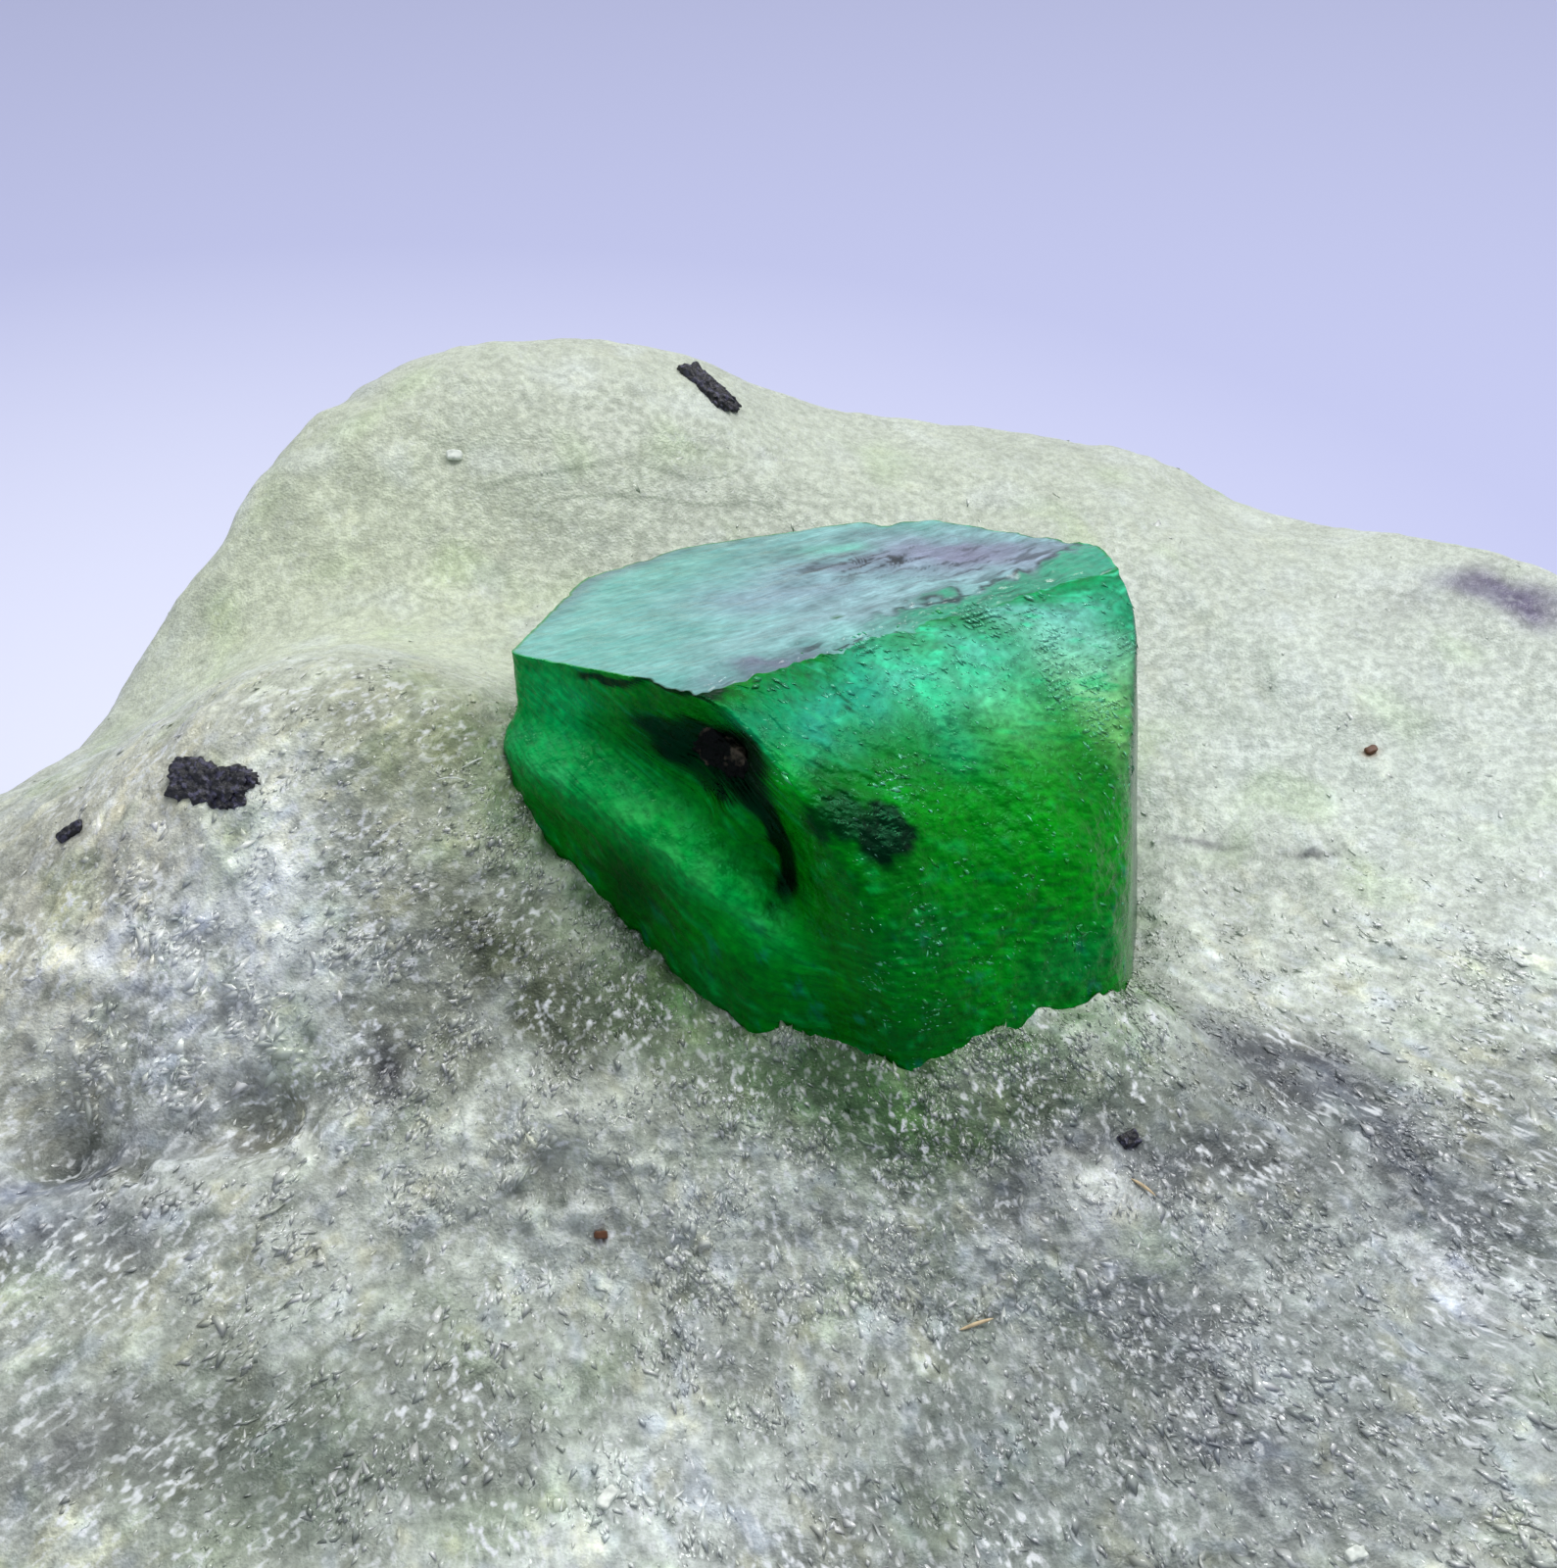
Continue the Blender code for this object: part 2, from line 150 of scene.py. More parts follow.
sample_line = np.linspace(0, 40, 2000)[:, None] * [1.0, 0.7, 0.4]
for kind in (value_noise, gradient_noise):
    sample = kind(sample_line, 1.0, 1)
    print(f"{kind.__name__} runs from {sample.min():.2f} to {sample.max():.2f} on a test line")

# %% [markdown]
# ## From a grid of points to a mesh
#
# Every surface below is a grid: rows of points, each row a closed ring. A ring is joined to the
# next by quads, and a surface that ends in a point gets a fan of triangles there. The vertex
# normals are worked out on the whole grid before it is split into pieces, so the seam between
# two pieces can't be seen.

# %% Grid helpers


def grid_normals(points):
    """Unit normals: the cross product of the grid's two central differences."""
    down = np.gradient(points, axis=0)
    along = (np.roll(points, -1, axis=1) - np.roll(points, 1, axis=1)) / 2
    normal = np.cross(down, along)
    return normal / np.maximum(np.linalg.norm(normal, axis=-1, keepdims=True), 1e-12)


def fill_mesh(name, vertices, loops, starts):
    """A mesh from vertices in millimetres, its faces' corners in order, and where each starts."""
    mesh = bpy.data.meshes.new(name)
    mesh.vertices.add(len(vertices))
    mesh.vertices.foreach_set("co", (vertices * MM).astype(np.float32).ravel())
    mesh.loops.add(len(loops))
    mesh.loops.foreach_set("vertex_index", loops.astype(np.int32))
    mesh.polygons.add(len(starts))
    mesh.polygons.foreach_set("loop_start", starts.astype(np.int32))
    mesh.update(calc_edges=True)
    mesh.validate()
    return mesh


def ring_mesh(name, points, normals, first_pole=None, last_pole=None):
    """Closed rings of points joined by quads, with a fan to a pole at either end if one is given."""
    rows, columns = points.shape[:2]
    index = np.arange(rows * columns).reshape(rows, columns)
    ahead = np.roll(index, -1, axis=1)
    quads = np.stack([index[:-1], index[1:], ahead[1:], ahead[:-1]], axis=-1).reshape(-1, 4)
    vertices, smooth_normals = [points.reshape(-1, 3)], [normals.reshape(-1, 3)]
    fans = []
    count = rows * columns
    first_end = (first_pole, index[0], ahead[0], normals[0])
    last_end = (last_pole, ahead[-1], index[-1], normals[-1])
    for pole, ring, ring_ahead, around in (first_end, last_end):
        if pole is not None:
            tip = np.full(columns, count)
            fans.append(np.stack([tip, ring, ring_ahead], axis=-1))
            vertices.append(np.array([pole], float))
            mean = around.mean(axis=0)
            smooth_normals.append(mean[None] / np.linalg.norm(mean))
            count += 1
    loops = np.concatenate([quads.ravel()] + [fan.ravel() for fan in fans])
    lengths = np.concatenate([np.full(len(quads), 4)] + [np.full(len(fan), 3) for fan in fans])
    starts = np.concatenate([[0], np.cumsum(lengths)[:-1]])
    mesh = fill_mesh(name, np.concatenate(vertices), loops, starts)
    mesh.shade_smooth()
    mesh.normals_split_custom_set_from_vertices(np.concatenate(smooth_normals))
    return mesh


# %% Values at the vertices, and placing a piece


def vertex_values(mesh, name, values):
    """Stores one number, or one colour, at each vertex, for the materials to read."""
    kind = "FLOAT_COLOR" if values.ndim > 1 and values.shape[-1] == 3 else "FLOAT"
    layer = mesh.attributes.new(name, kind, "POINT")
    if kind == "FLOAT_COLOR":
        flat = np.ones((len(mesh.vertices), 4), np.float32)
        colours = values.reshape(-1, 3)
        flat[: len(colours), :3] = colours
        flat[len(colours) :, :3] = colours[-1]
        layer.data.foreach_set("color", flat.ravel())
    else:
        flat = np.full(len(mesh.vertices), float(values.ravel()[-1]), np.float32)
        flat[: values.size] = values.ravel()
        layer.data.foreach_set("value", flat)


def place(name, mesh, material, slot, *nodes):
    """Puts a finished mesh in the scene, riding on the specimen, and hides the solid it replaces."""
    piece = bpy.data.objects.new(name, mesh)
    bpy.context.scene.collection.objects.link(piece)
    for one in material if isinstance(material, tuple) else (material,):
        mesh.materials.append(one)
    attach(piece, "root")
    if nodes:
        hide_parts(*nodes)
    mesh.calc_loop_triangles()
    print(f"{name}: {len(mesh.loop_triangles)} triangles")
    return piece


# %% [markdown]
# ## The form of the crystal
#
# Beryl grows as a six-sided prism with a flat end. Seen along its axis, each side face is a line
# at some distance from the centre, and the outline is the nearest of these lines in each
# direction. A power mean with a high power takes that nearest line and leaves edges that are
# crisp but not razor sharp. The broken front is one more such face, whose distance grows with
# depth, and a ledge, two hollows and some swellings are added to it.
#
# The crystal has its own axes: its flat end is at height 0, and a point is named by its
# direction round the axis and its depth below the end.

# %% Crystal form, as in the CAD source
TOP_CENTRE = np.array([-0.35, 1.1, 24.0])
LEANS_BACK, LEANS_LEFT = 10.5, 3.5
CRYSTAL_HEIGHT = 11.0
PRISM_FACES = (
    (349.5, 5.25),
    (10.0, 5.78),
    (50.0, 6.25),
    (108.0, 6.1),
    (136.0, 5.95),
    (169.0, 5.5),
    (235.0, 4.25),
    (289.5, 5.6),
)
EDGE_SHARPNESS = 60.0
FRACTURE_FACES, FRACTURE_AT_TOP, FRACTURE_RUN, FRACTURE_EASES = 308.0, 1.2, 4.9, 3.0
FRACTURE_CRISP, FRACTURE_SOFT, FRACTURE_SOFTENS = 60.0, 18.0, 1.4
LEDGE_START, LEDGE_END = 188.0, 258.0
LEDGE_STATIONS = (188.0, 211.0, 232.0, 262.0, 300.0, 360.0, 420.0, 480.0)
LEDGE_CREST_DEPTHS = (1.2, 1.6, 2.4, 4.2, 4.2, 3.4, 2.4, 1.5)
LEDGE_WIDTH, LEDGE_SLOPE = 0.8, 0.7
FRONT_RELIEF = (
    (237.0, 1.3, 11.0, 0.8, -0.65),
    (252.5, 3.1, 8.0, 1.2, -0.5),
    (284.0, 2.0, 12.0, 1.4, 0.25),
    (318.0, 3.6, 16.0, 2.4, 0.3),
    (222.0, 5.4, 12.0, 1.6, -0.3),
)


def faced_reach(direction, faces, sharpness):
    """Distance from an axis to the flat faces round it: their smooth minimum, as a power mean."""
    pressed = 0.0
    for facing, distance in faces:
        pressed = pressed + (np.cos(np.radians(direction - facing)).clip(0) / distance) ** sharpness
    return (pressed + 1e-90) ** (-1 / sharpness)


def prism_and_break(direction, depth):
    """The reach of the prism with its front broken off, and how far that reach is the break's."""
    prism = faced_reach(direction, PRISM_FACES, EDGE_SHARPNESS)
    broken = FRACTURE_AT_TOP + FRACTURE_RUN * (1 - np.exp(-depth / FRACTURE_EASES))
    share = np.cos(np.radians(direction - FRACTURE_FACES)).clip(0) / broken
    blend = FRACTURE_SOFT + (FRACTURE_CRISP - FRACTURE_SOFT) * np.exp(-depth / FRACTURE_SOFTENS)
    both = prism**-blend + share**blend
    return both ** (-1 / blend), share**blend / both


def ledge_crest(direction):
    """Depth of the line that the ledge follows round the crystal."""
    return np.interp(direction, LEDGE_STATIONS, LEDGE_CREST_DEPTHS, period=360)


def ledge_share(direction):
    """1 along the ledge, easing to 0 past its two ends."""
    start = smoothstep(LEDGE_START - 6, LEDGE_START + 14, direction)
    return start * (1 - smoothstep(LEDGE_END - 10, LEDGE_END + 8, direction))


def soft_spot(direction, depth, spot_direction, spot_depth, half_angle, half_depth):
    """A bump of height 1 on the crystal's side, falling off as a bell curve both ways."""
    across = angle_between(direction, spot_direction) / half_angle
    return np.exp(-(across**2) - ((depth - spot_depth) / half_depth) ** 2)


def crystal_reach(direction, depth):
    """Distance from the axis to the crystal's side: prism and break, plus ledge, plus relief."""
    crest = ledge_crest(direction)
    step = smoothstep(crest - LEDGE_SLOPE / 2, crest + LEDGE_SLOPE / 2, depth)
    reach = prism_and_break(direction, depth)[0] + LEDGE_WIDTH * ledge_share(direction) * step
    for facing, at_depth, half_angle, half_depth, height in FRONT_RELIEF:
        reach = reach + height * soft_spot(direction, depth, facing, at_depth, half_angle, half_depth)
    return reach


def around_axis(direction, reach, depth):
    """A point in the crystal's axes from its direction, its distance from the axis and its depth."""
    turned = np.radians(direction)
    return np.stack([reach * np.cos(turned), reach * np.sin(turned), -depth], axis=-1)


outline = faced_reach(np.arange(360.0), PRISM_FACES, EDGE_SHARPNESS)
print(f"the prism reaches {outline.min():.2f} to {outline.max():.2f} mm from its axis")

# %% [markdown]
# The prism leans back and a little to the left in its rock. Two turns and a shift carry its own
# axes to the specimen's, and the same turns backwards carry a point of the rock to the crystal.

# %% Between the crystal's axes and the specimen's
back, left = math.radians(-LEANS_BACK), math.radians(-LEANS_LEFT)
cos_back, sin_back = math.cos(back), math.sin(back)
cos_left, sin_left = math.cos(left), math.sin(left)
tip_back = np.array([[1, 0, 0], [0, cos_back, -sin_back], [0, sin_back, cos_back]])
tip_left = np.array([[cos_left, 0, sin_left], [0, 1, 0], [-sin_left, 0, cos_left]])
CRYSTAL_TURN = tip_left @ tip_back
print("the crystal's axis points along", CRYSTAL_TURN[:, 2].round(3))


def to_specimen(local):
    """Crystal axes to specimen axes, in millimetres."""
    return local @ CRYSTAL_TURN.T + TOP_CENTRE


def to_crystal(points):
    """Specimen axes to (direction, depth, distance from the axis) on the crystal."""
    local = (points - TOP_CENTRE) @ CRYSTAL_TURN
    direction = np.degrees(np.arctan2(local[..., 1], local[..., 0])) % 360
    return direction, -local[..., 2], np.hypot(local[..., 0], local[..., 1])


# %% [markdown]
# ## The form of the rock
#
# The lump's top is a tilted plane with humps, hollows, pits and low plates on it, each a bell
# curve, plus two layers of value noise. Its sides are broken faces at given distances, joined by
# the same power mean as the prism but with a low power, so the edges are blunt. The rim rolls
# over from the top to the sides, and the base is flat.

# %% Rock form, as in the CAD source
ROCK_FACES = (
    (97.0, 13.0, 15.4),
    (62.0, 18.5, 17.2),
    (38.0, 21.0, 20.6),
    (12.0, 20.5, 23.0),
    (332.0, 23.5, 22.4),
    (283.0, 15.5, 18.8),
    (238.0, 19.5, 19.6),
    (193.0, 15.5, 18.2),
    (152.0, 18.5, 16.0),
    (124.0, 17.5, 15.7),
)
ROCK_EDGE_BLUNTNESS = 11.0
RIM_WIDTH, RIM_DROP, BASE_CHAMFER = 0.055, 2.2, 0.8
PLANE_HEIGHT, PLANE_FALL_RIGHT, PLANE_RISE_BACK = 17.9, 0.069, 0.221
LANDFORMS = (
    ((-6.8, 12.5), (6.0, 5.0), 3.7),
    ((-12.8, 9.0), (4.0, 4.0), 1.9),
    ((-16.0, 5.0), (5.0, 4.0), -1.5),
    ((7.0, 13.0), (8.0, 5.0), 1.3),
    ((10.5, 14.0), (4.0, 4.0), -0.9),
    ((17.0, 9.0), (5.0, 5.0), 1.7),
    ((-13.5, -1.0), (5.0, 6.0), 1.0),
    ((-8.7, -0.1), (6.0, 4.6), 4.5),
    ((-9.0, -9.0), (7.0, 5.0), 0.6),
    ((14.0, -2.0), (8.0, 9.0), 1.3),
    ((-3.0, -5.5), (4.0, 3.0), 1.0),
    ((2.8, -4.6), (4.5, 3.2), 2.5),
    ((-13.3, -6.1), (1.5, 1.2), -0.9),
    ((-10.6, -5.9), (1.6, 0.9), -0.7),
    ((-5.2, -6.3), (2.0, 1.0), 0.4),
    ((-4.8, -8.1), (2.4, 0.9), -0.35),
    ((3.9, -7.4), (1.2, 0.9), 0.35),
    ((1.8, -8.6), (2.2, 1.0), -0.4),
    ((9.5, -7.5), (3.2, 1.2), -0.45),
)
LUMPS = ((7.0, 0.5), (3.4, 0.22))
SIDE_LUMPS = ((9.0, 1.1), (4.0, 0.6))
FOLIATION_STEP, FOLIATION_DEPTH, FOLIATION_TILT = 2.6, 0.7, 0.2


def side_reach(theta, up):
    """Distance from the origin to the lump's broken sides; up is 0 at the base and 1 at the rim."""
    faces = [(facing, low + (high - low) * up) for facing, low, high in ROCK_FACES]
    return faced_reach(np.degrees(theta), faces, ROCK_EDGE_BLUNTNESS)


def bell(x, y, centre, reach, turn=0.0):
    """A bell curve of height 1 over the plan, with its own reach along and across its turn."""
    c, s = math.cos(math.radians(turn)), math.sin(math.radians(turn))
    dx, dy = x - centre[0], y - centre[1]
    return np.exp(-(((dx * c + dy * s) / reach[0]) ** 2) - ((dy * c - dx * s) / reach[1]) ** 2)


def ground_height(x, y):
    """Height of the lump's top before its noise."""
    height = PLANE_HEIGHT - PLANE_FALL_RIGHT * x + PLANE_RISE_BACK * y
    for centre, reach, rise in LANDFORMS:
        height = height + rise * bell(x, y, centre, reach)
    return height


def lump_surface(theta, out, turn, down):
    """A point of the lump. out is the share of the way to the rim, turn goes from 0 to a quarter
    turn over the rim, and down goes from 0 to 1 between the rim and the base."""
    outward = np.stack([np.cos(theta), np.sin(theta)], axis=-1)
    x, y = np.moveaxis(outward * (side_reach(theta, 1.0) * out)[..., None], -1, 0)
    crown = ground_height(x, y) - RIM_DROP * (1 - np.cos(turn))
    z = crown * (1 - down)
    across = outward * (side_reach(theta, 1 - down) * out)[..., None]
    points = np.concatenate([across, z[..., None]], axis=-1)
    lumps = layered(points, LUMPS, 11, value_noise)
    layer = (z + FOLIATION_TILT * x + 0.1 * y)[..., None] * np.array([1.0, 0.0, 0.0])
    bulge = layered(points, SIDE_LUMPS, 21, value_noise)
    bulge = bulge + FOLIATION_DEPTH * value_noise(layer, FOLIATION_STEP, 3)
    beside = np.sin(turn) * (1 - 0.7 * smoothstep(0.85, 1.0, down))
    points[..., :2] += outward * (bulge * beside)[..., None]
    points[..., 2] += lumps * np.cos(turn)
    return points


print("the ground is %.1f mm high at the foot of the axis" % ground_height(0.0, 0.0))


# %% [markdown]
# ## Where rock meets crystal
#
# The fine rock is one polar grid. It starts at the bottom of the crystal's pocket, climbs its
# wall, comes out at the contact line, and runs on over the top, the rim and the side to the
# middle of the base. The contact is found first: along each direction the ground is followed
# outwards, and the last place that is still inside the crystal is kept.

# %% Contact line
COLUMNS = 1100
theta = np.arange(COLUMNS) / COLUMNS * 2 * math.pi


def contact_radius():
    """The distance from the origin, in each direction, at which the ground leaves the crystal."""
    reach = np.linspace(2.0, 9.0, 281)[:, None]
    x, y = reach * np.cos(theta), reach * np.sin(theta)
    ground = np.stack([x, y, ground_height(x, y)], axis=-1)
    ground[..., 2] += layered(ground, LUMPS, 11, value_noise)
    direction, depth, away = to_crystal(ground)
    inside = (crystal_reach(direction, depth.clip(0)) - away) * (depth > 0)
    last = len(reach) - 1 - np.argmax(inside[::-1] > 0, axis=0)
    column = np.arange(COLUMNS)
    here, beyond = inside[last, column], inside[np.minimum(last + 1, len(reach) - 1), column]
    step = reach[1, 0] - reach[0, 0]
    return reach[last, 0] + step * here / np.maximum(here - beyond, 1e-9)


contact = contact_radius()
print(f"contact line {contact.min():.2f} to {contact.max():.2f} mm from the foot of the axis")

# %% [markdown]
# ## The fine rock
#
# Talc-carbonate rock breaks with a sugary face: grains of a tenth to a third of a millimetre,
# drawn out along the rock's grain, with low plates where a layer has snapped off. So the coarse
# form is pushed out along its normals by noise at five sizes, by grains drawn out along the local
# streak direction, and by a staircase made from a slow noise, whose risers are the snapped edges.
# A few such edges are crushed to white powder, and each of those is a bent line drawn in plan.

# %% Fine relief of the rock
GRIT = ((1.7, 0.10), (0.85, 0.08), (0.42, 0.055), (0.21, 0.03), (0.12, 0.014))
STREAKS = (
    (107.0, (0.0, -8.0), 6.5),
    (147.0, (12.0, -5.0), 8.0),
    (50.0, (-12.0, -5.0), 7.0),
    (98.0, (7.0, 3.0), 5.0),
)
STREAK_LENGTH, STREAK_WIDTH, STREAK_HEIGHT = 0.6, 0.2, 0.055
PLATE_SIZE, PLATE_STEPS, PLATE_HEIGHT = 3.6, 3.0, 0.15
ROUGH_FROM, SMOOTH_FROM = -4.0, 5.0
CRUMBLE_HEIGHT, CRUMBLE_REACH = 0.35, 0.5
CRUSHED_EDGES = (
    (((-14.4, -8.1), (-13.8, -7.9), (-12.5, -7.2), (-11.3, -6.7), (-10.7, -6.6)), 0.3, 0.14, 0.4),
    (((-10.8, -5.7), (-10.6, -6.1), (-10.0, -6.4), (-9.5, -6.3), (-9.3, -6.0)), 0.2, 0.16, 0.6),
    (((-6.4, -6.5), (-5.8, -7.1), (-5.1, -7.45), (-4.4, -7.45), (-3.8, -7.1), (-3.3, -6.7)), 0.22, 0.18, 0.6),
    (((3.3, -6.8), (2.9, -6.95), (2.7, -7.3), (2.9, -7.7)), 0.14, 0.1, 0.5),
    (((2.5, -7.8), (3.0, -8.0), (3.7, -8.3), (3.9, -8.6)), 0.16, 0.12, 0.55),
    (((-13.1, -5.6), (-12.9, -5.9), (-13.2, -6.3)), 0.12, 0.05, 0.6),
)


# %% Streaks, plates and crushed edges


def streak_weights(x, y):
    """How much each streak direction counts at a place in plan; together they make 1."""
    raw = np.array([bell(x, y, centre, (reach, reach)) for turn, centre, reach in STREAKS]) + 0.02
    return raw / raw.sum(axis=0)


def streaky(points, length, width, seed):
    """Gradient noise drawn out along the local streak direction."""
    total = 0.0
    for weight, (turn, centre, reach) in zip(streak_weights(points[..., 0], points[..., 1]), STREAKS):
        c, s = math.cos(math.radians(turn)), math.sin(math.radians(turn))
        along = (points[..., 0] * c + points[..., 1] * s) / length
        across = (points[..., 1] * c - points[..., 0] * s) / width
        turned = np.stack([along, across, points[..., 2] / width], axis=-1)
        total = total + weight * gradient_noise(turned, 1.0, seed)
    return total


def staircase(value, steps):
    """Turns a slow noise into flat treads with quick risers."""
    scaled = value * steps
    tread = np.floor(scaled)
    return (tread + smoothstep(0.82, 1.0, scaled - tread)) / steps


def distance_to_path(x, y, path):
    """Distance in plan from each point to the nearest stretch of a bent line."""
    nearest = np.full(np.shape(x), np.inf)
    for (ax, ay), (bx, by) in zip(path[:-1], path[1:]):
        dx, dy = bx - ax, by - ay
        t = (((x - ax) * dx + (y - ay) * dy) / (dx * dx + dy * dy)).clip(0, 1)
        nearest = np.minimum(nearest, np.hypot(x - ax - t * dx, y - ay - t * dy))
    return nearest


def crushed_edges(points):
    """Height and whiteness of the snapped edges, where the grains are crushed to powder."""
    x = points[..., 0] + 0.3 * gradient_noise(points, 0.8, 51)
    y = points[..., 1] + 0.3 * gradient_noise(points, 0.8, 52)
    broken = smoothstep(-0.35, 0.45, gradient_noise(points, 0.4, 53))
    height, white = 0.0, 0.0
    for path, reach, lift, whiteness in CRUSHED_EDGES:
        near = np.exp(-((distance_to_path(x, y, path) / reach) ** 2)) * broken
        height, white = height + lift * near, np.maximum(white, whiteness * near)
    return height, white


def graininess(points):
    """1 where the rock is freshly broken and sugary, at the front and on the sides; low on the
    worn back of the top."""
    on_front = 0.25 + 0.75 * (1 - smoothstep(ROUGH_FROM, SMOOTH_FROM, points[..., 1]))
    below_top = ground_height(points[..., 0], points[..., 1]) - points[..., 2]
    return np.maximum(on_front, 0.8 * smoothstep(2.0, 5.0, below_top))


SMALL_FORMS = (
    ((4.9, -3.6), (1.1, 0.9), 0.35),
    ((-13.3, -6.0), (0.6, 0.5), -0.5),
    ((-10.0, -5.9), (0.8, 0.42), -0.4),
    ((-5.2, -6.95), (0.5, 0.3), -0.2),
    ((3.75, -7.4), (0.6, 0.5), 0.15),
    ((2.35, -7.2), (0.25, 0.5), -0.12),
)


def rock_relief(points):
    """Fine height of the rock's face along its normal, in millimetres."""
    plates = staircase(gradient_noise(points * [1, 1, 1.6], PLATE_SIZE, 41), PLATE_STEPS)
    worn = 0.5 + 0.5 * gradient_noise(points, 5.0, 57)
    grainy = graininess(points)
    coarse, fine = layered(points, GRIT[:2], 61), layered(points, GRIT[2:], 63)
    streaks = STREAK_HEIGHT * streaky(points, STREAK_LENGTH, STREAK_WIDTH, 71)
    grit = coarse * (0.7 + 0.6 * worn) + (fine + streaks) * grainy * (0.8 + 0.5 * worn)
    x, y = points[..., 0], points[..., 1]
    small = sum(rise * bell(x, y, centre, reach) for centre, reach, rise in SMALL_FORMS)
    return grit + small + PLATE_HEIGHT * plates * (0.4 + 0.6 * grainy) + crushed_edges(points)[0]


# %% The whole rock grid
POCKET_ROWS, TOP_ROWS, RIM_ROWS, SIDE_ROWS, BASE_ROWS = 16, 258, 22, 58, 8
BITES_IN, POCKET_GAP = 0.06, 0.08

rim_radius = side_reach(theta, 1.0) * (1 - RIM_WIDTH)
ring = np.linspace(0, 1, TOP_ROWS + 1)[:, None] ** 1.15
start = contact - BITES_IN
out = (start + (rim_radius - start) * ring) / side_reach(theta, 1.0)
turn = np.linspace(0, math.pi / 2, RIM_ROWS + 1)[1:, None]
down = np.linspace(0, 1, SIDE_ROWS + 1)[1:, None]
around = np.broadcast_to(theta, (TOP_ROWS + 1 + RIM_ROWS + SIDE_ROWS, COLUMNS))
rim_out = 1 - RIM_WIDTH * (1 - np.sin(turn))
all_out = np.concatenate([out, np.repeat(rim_out, COLUMNS, 1), np.ones((SIDE_ROWS, COLUMNS))])
all_turn = np.concatenate([np.zeros(TOP_ROWS + 1), turn[:, 0], np.full(SIDE_ROWS, math.pi / 2)])[:, None]
all_down = np.concatenate([np.zeros(TOP_ROWS + 1 + RIM_ROWS), down[:, 0]])[:, None]
all_turn = np.broadcast_to(all_turn, around.shape)
all_down = np.broadcast_to(all_down, around.shape)

rock = lump_surface(around, all_out, all_turn, all_down)
coarse_normals = grid_normals(rock)
relief = rock_relief(rock)
from_contact = np.hypot(rock[..., 0], rock[..., 1]) - contact
crumbly = (gradient_noise(rock, 0.9, 58) + 0.6 * gradient_noise(rock, 0.35, 59) + 0.1).clip(0)
relief = relief + CRUMBLE_HEIGHT * crumbly * np.exp(-((from_contact / CRUMBLE_REACH) ** 2))
side_quiet = 1 - smoothstep(0.9, 1.0, all_down)
rock = rock + coarse_normals * (relief * side_quiet)[..., None]
rock[-1, :, 2] = 0.0
outward = np.stack([np.cos(theta), np.sin(theta)], axis=-1)
rock[-1, :, :2] -= outward * BASE_CHAMFER
print("rock grid", rock.shape, "relief from %.2f to %.2f mm" % (relief.min(), relief.max()))

# %% [markdown]
# The pocket follows the crystal a hair's breadth away. It is seen only through the crystal, as
# the dark seat it stands in, but without it the ground would cut through the stone.

# %% Pocket and base
pocket_direction, pocket_depth, rim_away = to_crystal(rock[0])
sink = np.linspace(1, 0, POCKET_ROWS + 1)[:-1, None]
wall_share = np.minimum(1, (1 - sink) * 4)
wall_depth = pocket_depth + (CRYSTAL_HEIGHT + 0.1 - pocket_depth) * np.minimum(sink * 4 / 3, 1)
wall_direction = np.broadcast_to(pocket_direction, wall_depth.shape)
wall_reach = (crystal_reach(wall_direction, wall_depth) + POCKET_GAP) * wall_share
pocket = to_specimen(around_axis(wall_direction, wall_reach, wall_depth))
pocket_pole = to_specimen(np.array([0.0, 0.0, -CRYSTAL_HEIGHT - 0.1]))
pocket = pocket[1:]
inward = np.linspace(1, 0, BASE_ROWS + 1)[1:-1, None, None]
base = rock[-1][None] * inward
base[..., 2] = 0.0
whole = np.concatenate([pocket, rock, base])
whole_normals = grid_normals(whole)
print("whole rock grid", whole.shape)
